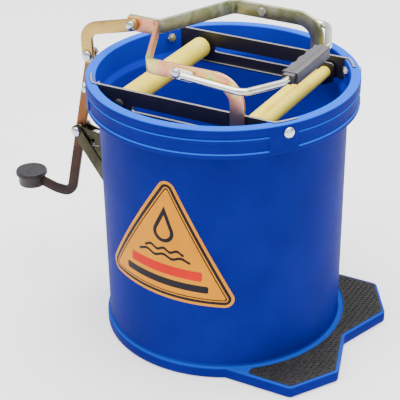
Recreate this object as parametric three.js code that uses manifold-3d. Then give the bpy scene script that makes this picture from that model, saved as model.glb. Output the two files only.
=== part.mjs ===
// A round mop bucket with a pedal wringer, in millimetres, +Z up.
// The origin is on the bucket's axis, where its flat underside meets the floor.
// +X points to the foot plate and -X to the pedal. The wringer's two sides mirror each other
// in y = 0, and "near" names the side at -Y.
import * as THREE from "three";
import { mergeVertices } from "three/addons/utils/BufferGeometryUtils.js";
import Module from "manifold-3d";

const wasm = await Module();
wasm.setup();

// ---- Fits ------------------------------------------------------------------------------
const TOUCH = 0.3; // gap between two pieces that rest on each other
const RUN = 0.15; // radial clearance of a shaft in its hole
const LOOSE = 0.4; // clearance all round a plate in a moulded slot
const PAST = 1; // how far a cutting shape runs past the face it cuts

// ---- Bucket ----------------------------------------------------------------------------
const BODY_RADIUS = 141.7; // outside of the wall, under the collar
const BODY_TAPER = 2.6; // how much smaller the radius is at the foot of the wall
const BUCKET_HEIGHT = 320;
const WALL = 3;
const FLOOR = 4.5;
const FLOOR_FILLET = 6;
const COLLAR_HEIGHT = 34;
const COLLAR_OUT = 13.3; // how far the collar stands out past the wall
const RIM_STEP = 1.3; // how far the rim's inner edge is outside the wall's radius
const RIM_THICKNESS = 5;
const SKIRT = 3.5; // thickness of the collar's outer wall
const RIB_DEPTH = 1.5;
const RIB_HALF = 1;
const MIDDLE_RIB_DROP = 14.5; // middle rib, below the rim
const BASE_RING_OUT = 0.8; // how far the base ring stands out past the wall
const BASE_RING_HEIGHT = 13.6;
const CHAMFER = 1.2;
const BUCKET_SIDES = 60;

// ---- Foot plate ------------------------------------------------------------------------
const FOOT_SIDE = 17.5; // straight sides, inside the base ring's radius
const FOOT_HEIGHT = 13.6;
const FOOT_REACH = 41.5; // lobes, past the base ring
const FOOT_SHOULDER = 7.5; // where the straight sides end, past the base ring
const FOOT_NOTCH = 18.5; // bottom of the notch between the lobes, past the base ring
const FOOT_CORNERS = [7, 8, 14]; // radii at the shoulder, the lobe and the notch
const LOBE_HALF_WIDTH = 70;
const TREAD_INSET = 3.5;
const TREAD_REACH = 47.5; // how far the tread reaches back, inside the base ring's radius
const TREAD_THICKNESS = 2.4;
const TREAD_RECESS = 1.5;

// ---- Label -----------------------------------------------------------------------------
const LABEL_SIDE = 184; // side of the triangle before its corners are rounded
const LABEL_CORNER = 11;
const LABEL_FOOT = 99; // height of the lower edge's middle above the floor
const LABEL_TILT = -3.6; // degrees
const LABEL_ANGLE = -91.2; // around the axis, degrees
const LABEL_THICKNESS = 0.5;

// ---- Side rails ------------------------------------------------------------------------
const RAIL_SHARE = 0.6782; // middle of each rail's plate, as a share of the wall's radius
const RAIL_THICKNESS = 3;
const RAIL_PROUD = 1.2; // how far the rail stands above the rim
const RAIL_UPPER_HEIGHT = 27;
const RAIL_LOWER_DROP = 38; // lower edge, below the rim
const RAIL_LOWER_GAP = [6.5, 8.5]; // ends of the lower band, from the wall
const RAIL_CORNER = 11;
const RAIL_LIP = 2.1;
const RAIL_LIP_THICKNESS = 2;
const TAB_SPAN = 9.95; // how far round the rim circle the bent tab goes, degrees
const TAB_BEND_ANGLE = 1.2; // the bend from the straight run to the tab, degrees
const TAB_GAP = 0.5; // bent tab from the channel's inner wall
const SLOT_PAST_ROLLER = 18; // start of the guide slot, from the fixed roller
const SLOT_PAST_PRESS = 3.4; // end of the guide slot, past the inner press axle
const GUIDE_DROP = 20; // guide slot and inner press axle, below the rim

// ---- Rim bolts -------------------------------------------------------------------------
const BOLT_FROM_BEND = 4.75; // rim bolt, from the end of the straight rail, degrees
const BOLT_DROP = 10;
const BOSS_SPAN = [-4.7, 8]; // smooth stretch of collar either side of the bolt, degrees
const BOLT_RADIUS = 3;
const BOLT_HEAD_RADIUS = 6.2;
const BOLT_HEAD_HEIGHT = 4.2;
const NUT_RADIUS = 5.8;
const NUT_HEIGHT = 4.6;
const RIM_NUT_HEIGHT = 4;
const BOLT_TIP = 1; // bolt past its nut
const BOLT_POINT = 0.5; // chamfer on the tip

// ---- Rollers ---------------------------------------------------------------------------
const ROLLER_END_GAP = 0.6; // roller from its end plate
const FIXED_ROLLER_IN = 64.7; // inside the wall's radius
const FIXED_ROLLER_DROP = 17.5;
const FIXED_ROLLER_RADIUS = 12.5;
const FIXED_AXLE_RADIUS = 4;
const FIXED_NUT_RADIUS = 6.8;
const PRESS_ROLLER_RADIUS = 7.2;
const PRESS_IN = 71.1; // inner press roller, inside the wall's radius
const PRESS_PITCH = [15.3, 2]; // outer press roller from the inner one, along X and Z
const END_PLATE_GAP = 2.6; // end plate from its rail
const END_PLATE_THICKNESS = 2;
const END_PLATE_MARGIN = 10.5; // plate past the axles, along X
const END_PLATE_HEIGHT = 25;
const END_PLATE_CORNER = 6;
const AXLE_HEAD_RADIUS = 5; // riveted ends of the outer press axle
const AXLE_HEAD_HEIGHT = 1;

// ---- Yoke, the bent straps that carry the press rollers --------------------------------
const STRAP_THICKNESS = 4;
const STRAP_WIDTH = 17;
const STRAP_GAP = 0.8; // strap from its rail
const YOKE_RISE = 37.2; // middle of the yoke, above the rim
const YOKE_PLAN_BEND = 11;
const YOKE_SHOULDER_BEND = 25;
const YOKE_SPLIT = 31; // where the straps part, from the yoke bolt
const YOKE_SPREAD = 76; // where the straps reach the sides, from the yoke bolt
const STRAP_END = 7.5; // strap past the yoke bolt

// ---- Lever and pull arm ----------------------------------------------------------------
const PIVOT_OUT = 55.8; // lever pivot, outside the wall's radius
const PIVOT_DROP = 114.5; // lever pivot, below the rim
const LINK_FROM_PIVOT = [21.5, 103]; // link pin from the lever pivot, along X and Z
const LEVER_WIDTH = 12.3;
const LEVER_THICKNESS = 5.5;
const LEVER_BEND = [-19.5, -93.5];
const LEVER_TOE = [-43, -93];
const LEVER_TIP = [-80, -84];
const LEVER_BENDS = [15, 30]; // radii at the bend and the toe
const LINK_HEAD_RADIUS = 6.6; // covers the arm's long hole
const ARM_WIDTH = 15;
const ARM_THICKNESS = 5;
const ARM_RISE = 33; // the arm's bend, above the link pin
const ARM_FOOT = 2; // middle of the arm's round foot, below the link pin
const ARM_LEAN = 1; // how far the arm's bend is outside the link pin
const ARM_BEND = 17;
const YOKE_BOLT_FROM_LINK = 62; // along X
const LINK_TRAVEL = [3.1, 2.2]; // how far the link pin's arc dips and rises
const PEDAL_FROM_PIVOT = [-80.5, -85.5]; // middle of the pad
const PEDAL_RADIUS = 17;
const PEDAL_LIP_RADIUS = 20;
const PEDAL_HEIGHT = 20;
const PEDAL_LIP = 6;
const PEDAL_ROUND = 2;

// ---- Bracket ---------------------------------------------------------------------------
const MOULDED_PAD = 5.3; // bracket seats, proud of the wall's radius
const PAD_HALF_WIDTH = 27;
const UPPER_PAD_Z = [-144, -110]; // from the rim
const LOWER_PAD_Z = [-204, -166];
const BRACKET_THICKNESS = 3;
const CHEEK_THICKNESS = 2.5;
const CHEEK_Y = 6.15; // middle of each cheek
const CHEEK_WIDTH = 14;
const PLATE_MARGIN = 2; // steel inside the edges of its moulded seat
const STAY_Y = 9.2; // middle of each stay
const STAY_WIDTH = 15;
const STAY_FOOT_RISE = 4; // where the stay meets its foot, above the seat's middle
const SCREW_Y = 19;
const SCREW_RADIUS = 2.2;
const SCREW_HEAD_RADIUS = 5;
const SCREW_HEAD_HEIGHT = 2.6;
const SCREW_DEPTH = 5.5;
const PIVOT_RADIUS = 3;
const WASHER_RADIUS = 6.5;
const WASHER_THICKNESS = 1.25;

// ---- Return spring ---------------------------------------------------------------------
const SPRING_FROM_PIVOT = [22, -8.5];
const SPRING_RADIUS = 10.5;
const SPRING_WIRE = 2;
const SPRING_HALF_WIDTH = 4.2;
const SPRING_PIN_RADIUS = 2.5;
const SPRING_LEG_DROP = 6; // tip of the leg that pushes the lever, below the turns

// ---- Carry handle ----------------------------------------------------------------------
const HANDLE_ROD_RADIUS = 4;
const HANDLE_EYE_RADIUS = 6.5;
const HANDLE_EYE_THICKNESS = 3;
const HANDLE_START = 10; // where the round rod starts
const HANDLE_START_DROP = 0.9;
const HANDLE_REST_ANGLE = 29; // where the rod rests on the yoke's shoulder, degrees above level
const HANDLE_REST_GAP = 2.4; // extra room there, because the rod's bend is eased
const HANDLE_REACH = [22, -3.4]; // rod in the grip, past the knee, along X and Z
const HANDLE_INNER_Y = 58; // where the rod turns into the grip
const HANDLE_EASE = 10; // how far from each corner the rod starts to bend
const GRIP_HALF_LENGTH = 47;
const GRIP_WIDTH = 18.5;
const GRIP_HEIGHT = 14;
const GRIP_RISE = -0.5; // middle of the grip, from the rod
const GRIP_CORNER = 2.5;
const GRIP_TAPER = 3; // how much narrower the underside is, each side
const RIVET_RADIUS = 2.8;
const RIVET_HEAD_RADIUS = 5.4;
const RIVET_HEAD_HEIGHT = 3;
const RIVET_BACK_HEIGHT = 2;

// ---- Facets ----------------------------------------------------------------------------
const SMALL_SIDES = 14;
const ROLLER_SIDES = 24;
const ROD_SIDES = 10;
const ROD_STEPS = 44;
const BEND_STEPS = 4;
const TAB_STEPS = 4;
const LABEL_STEPS = 5;
const DOME = [[0, 1], [0.6, 0.86], [0.95, 0.4], [1, 0]]; // share of a head's radius and height
const WELD = 1e-4;

// ---- Places that follow from the sizes above -------------------------------------------
const degrees = THREE.MathUtils.degToRad;
const rimOut = BODY_RADIUS + COLLAR_OUT;
const rimIn = BODY_RADIUS + RIM_STEP;
const channelIn = rimIn + WALL;
const channelOut = rimOut - SKIRT;
const collarFoot = BUCKET_HEIGHT - COLLAR_HEIGHT;
const footRadius = BODY_RADIUS - BODY_TAPER;
const railTop = BUCKET_HEIGHT + RAIL_PROUD;
const tabRadius = channelIn + TAB_GAP + RAIL_THICKNESS / 2;
const baseRingRadius = BODY_RADIUS + BASE_RING_OUT;
const railY = BODY_RADIUS * RAIL_SHARE;
const railOuter = railY + RAIL_THICKNESS / 2;
const railMeet = THREE.MathUtils.radToDeg(Math.asin(railY / tabRadius));
const boltAngle = railMeet - BOLT_FROM_BEND;
const endPlateY = railY - (RAIL_THICKNESS + END_PLATE_THICKNESS) / 2 - END_PLATE_GAP;
const rollerHalfLength = endPlateY - END_PLATE_THICKNESS / 2 - ROLLER_END_GAP;
const fixedRollerX = FIXED_ROLLER_IN - BODY_RADIUS;
const pressX = BODY_RADIUS - PRESS_IN;
const strapY = railOuter + STRAP_GAP + STRAP_THICKNESS / 2;
const strapOuter = strapY + STRAP_THICKNESS / 2;
const handleY = strapOuter + LOOSE + HANDLE_ROD_RADIUS;
const armFarY = -(STRAP_THICKNESS + 2 * TOUCH);
const armNearY = armFarY - ARM_THICKNESS;
const linkWasher = -armFarY - LEVER_THICKNESS / 2 - 2 * TOUCH;
const guideZ = BUCKET_HEIGHT - GUIDE_DROP;
const yokeZ = BUCKET_HEIGHT + YOKE_RISE;
const pivot = [-(BODY_RADIUS + PIVOT_OUT), BUCKET_HEIGHT - PIVOT_DROP];
const link = [pivot[0] + LINK_FROM_PIVOT[0], pivot[1] + LINK_FROM_PIVOT[1]];
const yokeBoltX = link[0] + YOKE_BOLT_FROM_LINK;
const yokeSpreadX = yokeBoltX + YOKE_SPREAD;
const padFace = -(BODY_RADIUS + MOULDED_PAD);
const springPin = [pivot[0] + SPRING_FROM_PIVOT[0], pivot[1] + SPRING_FROM_PIVOT[1]];
const kneeRadius = YOKE_SHOULDER_BEND + STRAP_WIDTH / 2 + HANDLE_ROD_RADIUS + HANDLE_REST_GAP;
const knee = [
  pressX - YOKE_SHOULDER_BEND + kneeRadius * Math.cos(degrees(HANDLE_REST_ANGLE)),
  -YOKE_SHOULDER_BEND + kneeRadius * Math.sin(degrees(HANDLE_REST_ANGLE)),
];
const gripRod = [knee[0] + HANDLE_REACH[0], knee[1] + HANDLE_REACH[1]];

// ---- Finishes: colour, roughness, metalness --------------------------------------------
const FINISHES = {
  bluePlastic: [0x1c3fa8, 0.38, 0],
  blackRubber: [0x2b2a2c, 0.85, 0],
  labelFilm: [0xf0a81c, 0.45, 0],
  blackPaint: [0x1f1e26, 0.5, 0.2],
  yellowZinc: [0xb9a878, 0.38, 0.9],
  brownZinc: [0x8a5f4a, 0.42, 0.85],
  brightZinc: [0xc9ccd0, 0.3, 0.95],
  creamPlastic: [0xefe394, 0.5, 0],
  charcoalPlastic: [0x4b474e, 0.55, 0],
};

// ---- Booleans --------------------------------------------------------------------------
function solidOf(geometry) {
  const bare = geometry.index ? geometry.toNonIndexed() : geometry.clone();
  bare.deleteAttribute("normal");
  bare.deleteAttribute("uv");
  const merged = mergeVertices(bare, WELD);
  return new wasm.Manifold(
    new wasm.Mesh({
      numProp: 3,
      vertProperties: merged.attributes.position.array,
      triVerts: new Uint32Array(merged.index.array),
    }),
  );
}

function geometryOf(solid) {
  const { numProp, vertProperties, triVerts } = solid.getMesh();
  const count = vertProperties.length / numProp;
  const positions = new Float32Array(count * 3);
  for (let i = 0; i < count; i++) {
    positions.set(vertProperties.subarray(i * numProp, i * numProp + 3), i * 3);
  }
  return new THREE.BufferGeometry()
    .setAttribute("position", new THREE.BufferAttribute(positions, 3))
    .setIndex(new THREE.BufferAttribute(triVerts, 1));
}

function join(...pieces) {
  return geometryOf(pieces.map(solidOf).reduce((sum, piece) => sum.add(piece)));
}

function cut(base, ...tools) {
  return geometryOf(tools.reduce((left, tool) => left.subtract(solidOf(tool)), solidOf(base)));
}

function common(a, b) {
  return geometryOf(solidOf(a).intersect(solidOf(b)));
}

// ---- Outlines --------------------------------------------------------------------------
// Points along straight runs whose corners are rounded: each corner is [x, y, bend radius].
function roundedLine(corners, closed = false) {
  const at = (i) => new THREE.Vector2(...corners[(i + corners.length) % corners.length].slice(0, 2));
  return corners.flatMap(([x, y, bend = 0], i) => {
    const here = new THREE.Vector2(x, y);
    const isEnd = !closed && (i === 0 || i === corners.length - 1);
    if (!bend || isEnd) return [here];
    const before = at(i - 1).sub(here).normalize();
    const after = at(i + 1).sub(here).normalize();
    const half = Math.acos(THREE.MathUtils.clamp(before.dot(after), -1, 1)) / 2;
    const centre = before.clone().add(after).normalize().multiplyScalar(bend / Math.sin(half)).add(here);
    const turn = Math.sign(after.cross(before)) * (Math.PI - 2 * half);
    const start = before.multiplyScalar(bend / Math.tan(half)).add(here).sub(centre);
    return Array.from({ length: BEND_STEPS + 1 }, (_, k) =>
      start.clone().rotateAround(new THREE.Vector2(), (turn * k) / BEND_STEPS).add(centre),
    );
  });
}

// A band of one width along a line of points, with square or half-round ends.
function strip(line, width, roundEnds = false) {
  const half = width / 2;
  const normal = (a, b) => b.clone().sub(a).normalize().rotateAround(new THREE.Vector2(), Math.PI / 2);
  const offsets = line.map((point, i) => {
    const first = normal(line[Math.max(i - 1, 0)], line[Math.max(i, 1)]);
    const last = line.length - 1;
    const second = normal(line[Math.min(i, last - 1)], line[Math.min(i + 1, last)]);
    const mitre = first.clone().add(second).normalize();
    return mitre.multiplyScalar(half / mitre.dot(first));
  });
  const left = line.map((point, i) => point.clone().add(offsets[i]));
  const right = line.map((point, i) => point.clone().sub(offsets[i]));
  const cap = (i, way) =>
    Array.from({ length: BEND_STEPS - 1 }, (_, k) =>
      offsets[i].clone().multiplyScalar(way)
        .rotateAround(new THREE.Vector2(), (-Math.PI * (k + 1)) / BEND_STEPS)
        .add(line[i]),
    );
  const endCap = roundEnds ? cap(line.length - 1, 1) : [];
  const startCap = roundEnds ? cap(0, -1) : [];
  return new THREE.Shape([...left, ...endCap, ...right.reverse(), ...startCap]);
}

// ---- Solids ----------------------------------------------------------------------------
// A plate whose outline is drawn in X and Z, centred on y = middle.
function plateXZ(shape, thickness, middle = 0) {
  const plate = new THREE.ExtrudeGeometry(shape, { depth: thickness, bevelEnabled: false });
  return plate.rotateX(Math.PI / 2).translate(0, middle + thickness / 2, 0);
}

// A plate whose outline is drawn in X and Y.
function plateXY(shape, bottom, top) {
  const plate = new THREE.ExtrudeGeometry(shape, { depth: top - bottom, bevelEnabled: false });
  return plate.translate(0, 0, bottom);
}

function block([x0, x1], [y0, y1], [z0, z1]) {
  return new THREE.BoxGeometry(x1 - x0, y1 - y0, z1 - z0)
    .translate((x0 + x1) / 2, (y0 + y1) / 2, (z0 + z1) / 2);
}

// A straight round rod along Y, through (x, z).
function rodY(radius, [y0, y1], [x, z] = [0, 0], sides = SMALL_SIDES) {
  return new THREE.CylinderGeometry(radius, radius, y1 - y0, sides).translate(x, (y0 + y1) / 2, z);
}

// A profile of [radius, y] turned about the Y axis.
function turnedY(profile, sides = SMALL_SIDES) {
  return new THREE.LatheGeometry(profile.map((point) => new THREE.Vector2(...point)), sides);
}

// A profile of [radius, z] turned about the Z axis.
function turnedZ(profile, sides = BUCKET_SIDES) {
  return turnedY(profile, sides).rotateX(Math.PI / 2);
}

// A ring about the Y axis between two radii.
function ringY(inner, outer, [y0, y1], sides = SMALL_SIDES) {
  return turnedY([[inner, y0], [outer, y0], [outer, y1], [inner, y1], [inner, y0]], sides);
}

// A domed bolt along Y: its head ends at y = seat, and the shank runs on to y = tip.
function domedBolt(radius, headRadius, headHeight, seat, tip) {
  const head = DOME.map(([r, h]) => [r * headRadius, seat - h * headHeight]);
  return turnedY([
    ...head,
    [radius, seat],
    [radius, tip - BOLT_POINT],
    [radius - BOLT_POINT, tip],
    [0, tip],
  ]);
}

// A hexagon nut along Y with a clearance bore.
function hexNut(radius, bore, [y0, y1]) {
  return cut(rodY(radius, [y0, y1], [0, 0], 6), rodY(bore, [y0 - PAST, y1 + PAST]));
}

// ---- Building the tree -----------------------------------------------------------------
function piece(name, geometry, finish, place = [0, 0, 0]) {
  const [color, roughness, metalness] = FINISHES[finish];
  const mesh = new THREE.Mesh(geometry, new THREE.MeshStandardMaterial({ color, roughness, metalness }));
  mesh.name = name;
  mesh.position.set(...place);
  return mesh;
}

function assembly([x, z], ...children) {
  const group = new THREE.Group();
  group.position.set(x, 0, z);
  return group.add(...children);
}

// Near and far copies of a piece, drawn for the far side and mirrored for the near one.
function bothSides(name, geometry, finish) {
  return [["near", -1], ["far", 1]].map(([side, way]) => {
    const mesh = piece(`${name}_${side}`, geometry, finish);
    mesh.scale.y = way;
    return mesh;
  });
}

// ---- Bucket ----------------------------------------------------------------------------
const wallRadiusAt = (z) =>
  footRadius + (BODY_TAPER * (z - BASE_RING_HEIGHT)) / (collarFoot - BASE_RING_HEIGHT);

function bucketOutside() {
  const groove = rimOut - RIB_DEPTH;
  const middleRib = BUCKET_HEIGHT - MIDDLE_RIB_DROP;
  const rib = (low, high) => [
    [groove, low - RIB_HALF],
    [rimOut, low],
    [rimOut, high],
    [groove, high + RIB_HALF],
  ];
  return turnedZ([
    [0, 0],
    [baseRingRadius - CHAMFER, 0],
    [baseRingRadius, CHAMFER],
    [baseRingRadius, BASE_RING_HEIGHT - CHAMFER],
    [baseRingRadius - CHAMFER, BASE_RING_HEIGHT],
    [footRadius, BASE_RING_HEIGHT + CHAMFER],
    [BODY_RADIUS, collarFoot - CHAMFER],
    [channelIn, collarFoot + WALL - CHAMFER],
    [channelOut, collarFoot],
    [rimOut - CHAMFER, collarFoot],
    ...rib(collarFoot + CHAMFER, collarFoot + WALL + CHAMFER),
    ...rib(middleRib - RIB_HALF, middleRib + RIB_HALF),
    ...rib(BUCKET_HEIGHT - RIM_THICKNESS + CHAMFER, BUCKET_HEIGHT - CHAMFER).slice(0, 3),
    [rimOut - CHAMFER, BUCKET_HEIGHT],
    [0, BUCKET_HEIGHT],
  ]);
}

function bucketCavity() {
  return turnedZ([
    [0, FLOOR],
    [footRadius - WALL - FLOOR_FILLET, FLOOR],
    [footRadius - WALL, FLOOR + FLOOR_FILLET],
    [BODY_RADIUS - WALL, collarFoot - CHAMFER],
    [rimIn, collarFoot + WALL + CHAMFER],
    [rimIn, BUCKET_HEIGHT - CHAMFER],
    [rimIn + CHAMFER, BUCKET_HEIGHT],
    [rimIn + CHAMFER, BUCKET_HEIGHT + WALL],
    [0, BUCKET_HEIGHT + WALL],
  ]);
}

// The open-bottomed channel between the collar's two walls.
function collarChannel() {
  const top = BUCKET_HEIGHT - RIM_THICKNESS;
  const low = collarFoot - WALL;
  return turnedZ([
    [channelIn, collarFoot + WALL - CHAMFER],
    [channelOut, low],
    [channelOut, top],
    [channelIn, top],
    [channelIn, collarFoot + WALL - CHAMFER],
  ]);
}

// The smooth stretches of collar that the rim bolts go through.
function collarBoss(from, to) {
  const [a, b] = [degrees(from), degrees(to)];
  const shape = new THREE.Shape().absarc(0, 0, rimOut, a, b, false).absarc(0, 0, channelOut, b, a, true);
  return plateXY(shape, collarFoot, BUCKET_HEIGHT - CHAMFER);
}

const quarterAngles = (angle) => [angle, 180 - angle, 180 + angle, 360 - angle];

function radialRod(radius, from, to, angle, z) {
  return new THREE.CylinderGeometry(radius, radius, to - from, SMALL_SIDES)
    .translate(0, -(from + to) / 2, 0)
    .rotateZ(degrees(angle + 90))
    .translate(0, 0, z);
}

const boltHoles = (extra) =>
  quarterAngles(boltAngle).map((angle) =>
    radialRod(BOLT_RADIUS + extra, rimIn - WALL, rimOut + WALL, angle, BUCKET_HEIGHT - BOLT_DROP),
  );

function footPlateOutline(inset) {
  const ring = baseRingRadius;
  const side = ring - FOOT_SIDE - inset;
  const start = inset ? ring - TREAD_REACH + inset - TREAD_INSET : ring / 2;
  const [shoulder, lobe, notch] = FOOT_CORNERS;
  const half = [
    [start, -side, inset],
    [ring + FOOT_SHOULDER - inset / 3, -side, shoulder],
    [ring + FOOT_REACH - inset, -LOBE_HALF_WIDTH, lobe],
    [ring + FOOT_NOTCH - inset, 0, notch],
  ];
  const mirrored = half.slice(0, 3).reverse().map(([x, y, bend]) => [x, -y, bend]);
  return new THREE.Shape(roundedLine([...half, ...mirrored], true));
}

function tread(extra, bottom, top) {
  const edge = baseRingRadius + TREAD_INSET - extra;
  const wall = turnedZ([[0, 0], [edge, 0], [edge, 2 * FOOT_HEIGHT], [0, 2 * FOOT_HEIGHT]]);
  return cut(plateXY(footPlateOutline(TREAD_INSET - extra), bottom, top), wall);
}

const screwHole = (way, padZ) =>
  rodY(SCREW_RADIUS + RUN, [-SCREW_DEPTH - TOUCH, SCREW_DEPTH], [0, 0])
    .rotateZ(-Math.PI / 2)
    .translate(padFace, way * SCREW_Y, BUCKET_HEIGHT + (padZ[0] + padZ[1]) / 2);

const screwPlaces = [UPPER_PAD_Z, LOWER_PAD_Z].flatMap((padZ) => [-1, 1].map((way) => [way, padZ]));

function bucket() {
  const pads = [UPPER_PAD_Z, LOWER_PAD_Z].map(([low, high]) =>
    block([padFace, -BODY_RADIUS / 2], [-PAD_HALF_WIDTH, PAD_HALF_WIDTH],
      [BUCKET_HEIGHT + low, BUCKET_HEIGHT + high]),
  );
  const bosses = [0, 180].flatMap((turn) => [
    collarBoss(turn + boltAngle + BOSS_SPAN[0], turn + boltAngle + BOSS_SPAN[1]),
    collarBoss(turn - boltAngle - BOSS_SPAN[1], turn - boltAngle - BOSS_SPAN[0]),
  ]);
  const slots = [-1, 1].map((way) =>
    plateXY(strip(railLine(way, LOOSE), RAIL_THICKNESS + 2 * LOOSE),
      railTop - RAIL_UPPER_HEIGHT - LOOSE, railTop + LOOSE),
  );
  return cut(
    join(bucketOutside(), plateXY(footPlateOutline(0), 0, FOOT_HEIGHT), ...pads, ...bosses),
    bucketCavity(),
    collarChannel(),
    tread(TOUCH, FOOT_HEIGHT - TREAD_RECESS, FOOT_HEIGHT + PAST),
    ...slots,
    ...boltHoles(RUN),
    ...screwPlaces.map(([way, padZ]) => screwHole(way, padZ)),
  );
}

// ---- Label: a rounded triangle of film that lies on the cone of the wall ---------------
function labelSheet() {
  const height = (LABEL_SIDE * Math.sqrt(3)) / 2;
  const corners = [
    [-LABEL_SIDE / 2, 0, LABEL_CORNER],
    [LABEL_SIDE / 2, 0, LABEL_CORNER],
    [0, height, LABEL_CORNER],
  ];
  const outline = roundedLine(corners, true);
  const turned = outline.flatMap((point, i) => {
    const next = outline[(i + 1) % outline.length];
    const steps = point.distanceTo(next) > LABEL_CORNER ? LABEL_STEPS : 1;
    return Array.from({ length: steps }, (_, k) => point.clone().lerp(next, k / steps));
  });
  const wrapped = turned.map((point) => {
    const flat = point.rotateAround(new THREE.Vector2(), degrees(LABEL_TILT));
    return new THREE.Vector2(BODY_RADIUS * Math.sin(flat.x / BODY_RADIUS), flat.y + LABEL_FOOT);
  });
  const prism = plateXZ(new THREE.Shape(wrapped), BODY_RADIUS, -BODY_RADIUS)
    .rotateZ(degrees(LABEL_ANGLE + 90));
  const [low, high] = [BASE_RING_HEIGHT + FLOOR_FILLET, collarFoot - FLOOR_FILLET];
  const inner = (z) => [wallRadiusAt(z) + TOUCH, z];
  const outer = (z) => [wallRadiusAt(z) + TOUCH + LABEL_THICKNESS, z];
  return common(turnedZ([inner(low), outer(low), outer(high), inner(high), inner(low)]), prism);
}

// ---- Side rails ------------------------------------------------------------------------
// The rail from above: a straight run whose ends turn in along the rim's circle.
function railLine(way, extra = 0) {
  const meet = degrees(railMeet);
  const turnStart = meet - degrees(TAB_BEND_ANGLE);
  const tabEnd = meet - degrees(TAB_SPAN) - extra / tabRadius;
  const arc = Array.from({ length: TAB_STEPS + 1 }, (_, k) => {
    const angle = THREE.MathUtils.lerp(tabEnd, turnStart, k / TAB_STEPS);
    return new THREE.Vector2(Math.cos(angle), Math.sin(angle)).multiplyScalar(tabRadius);
  });
  const straight = new THREE.Vector2(tabRadius * Math.cos(meet) - RAIL_THICKNESS / 2, railY);
  const half = [...arc, straight];
  const mirrored = half.map(({ x, y }) => new THREE.Vector2(-x, y)).reverse();
  return [...half, ...mirrored].map(({ x, y }) => new THREE.Vector2(x, way * y));
}

function sideRail() {
  const bottom = BUCKET_HEIGHT - RAIL_LOWER_DROP;
  const seam = railTop - RAIL_UPPER_HEIGHT;
  const wallX = Math.sqrt((BODY_RADIUS - WALL) ** 2 - railOuter ** 2);
  const [left, right] = [RAIL_LOWER_GAP[0] - wallX, wallX - RAIL_LOWER_GAP[1]];
  const inner = railY - RAIL_THICKNESS / 2;
  const lower = new THREE.Shape(roundedLine([
    [left, bottom, RAIL_CORNER],
    [right, bottom, RAIL_CORNER],
    [right, seam + WALL],
    [left, seam + WALL],
  ], true));
  const slotLine = [fixedRollerX + SLOT_PAST_ROLLER, pressX + SLOT_PAST_PRESS]
    .map((x) => new THREE.Vector2(x, guideZ));
  return cut(
    join(
      plateXY(strip(railLine(1), RAIL_THICKNESS), seam, railTop),
      plateXZ(lower, RAIL_THICKNESS, railY),
      block([left + RAIL_CORNER, right - RAIL_CORNER], [inner - RAIL_LIP, inner + RAIL_THICKNESS / 2],
        [bottom, bottom + RAIL_LIP_THICKNESS]),
    ),
    plateXZ(strip(slotLine, 2 * (PIVOT_RADIUS + RUN), true), 2 * RAIL_THICKNESS, railY),
    rodY(FIXED_AXLE_RADIUS + RUN, [inner - PAST, inner + 2 * RAIL_THICKNESS],
      [fixedRollerX, BUCKET_HEIGHT - FIXED_ROLLER_DROP]),
    ...boltHoles(RUN),
  );
}

// ---- Rim bolts and nuts ----------------------------------------------------------------
function rimFasteners() {
  const names = ["far_right", "far_left", "near_left", "near_right"];
  const bolt = domedBolt(BOLT_RADIUS, BOLT_HEAD_RADIUS, BOLT_HEAD_HEIGHT,
    -(rimOut + TOUCH), -(rimIn - TOUCH - RIM_NUT_HEIGHT - BOLT_TIP));
  const nutSeat = rimIn - RIM_STEP / 2 - TOUCH;
  const nut = hexNut(NUT_RADIUS, BOLT_RADIUS + RUN, [-nutSeat, -nutSeat + RIM_NUT_HEIGHT]);
  return quarterAngles(boltAngle).flatMap((angle, i) => [
    ["rim_bolt", bolt],
    ["rim_nut", nut],
  ].map(([name, geometry]) => {
    const mesh = piece(`${name}_${names[i]}`, geometry, "brightZinc", [0, 0, BUCKET_HEIGHT - BOLT_DROP]);
    mesh.rotation.z = degrees(angle + 90);
    return mesh;
  }));
}

// ---- Rollers and axles -----------------------------------------------------------------
function roller(radius, bore) {
  const end = rollerHalfLength;
  return turnedY([
    [bore, -end],
    [radius - CHAMFER, -end],
    [radius, -end + CHAMFER],
    [radius, end - CHAMFER],
    [radius - CHAMFER, end],
    [bore, end],
    [bore, -end],
  ], ROLLER_SIDES);
}

function fixedRoller() {
  const nutEnd = railOuter + TOUCH + NUT_HEIGHT;
  return assembly([fixedRollerX, BUCKET_HEIGHT - FIXED_ROLLER_DROP],
    piece("fixed_roller", roller(FIXED_ROLLER_RADIUS, FIXED_AXLE_RADIUS + RUN), "creamPlastic"),
    piece("fixed_roller_axle", domedBolt(FIXED_AXLE_RADIUS, FIXED_NUT_RADIUS, BOLT_HEAD_HEIGHT,
      -(railOuter + TOUCH), nutEnd + BOLT_TIP), "blackPaint"),
    piece("fixed_roller_nut", hexNut(FIXED_NUT_RADIUS, FIXED_AXLE_RADIUS + RUN,
      [railOuter + TOUCH, nutEnd]), "blackPaint"),
  );
}

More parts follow.
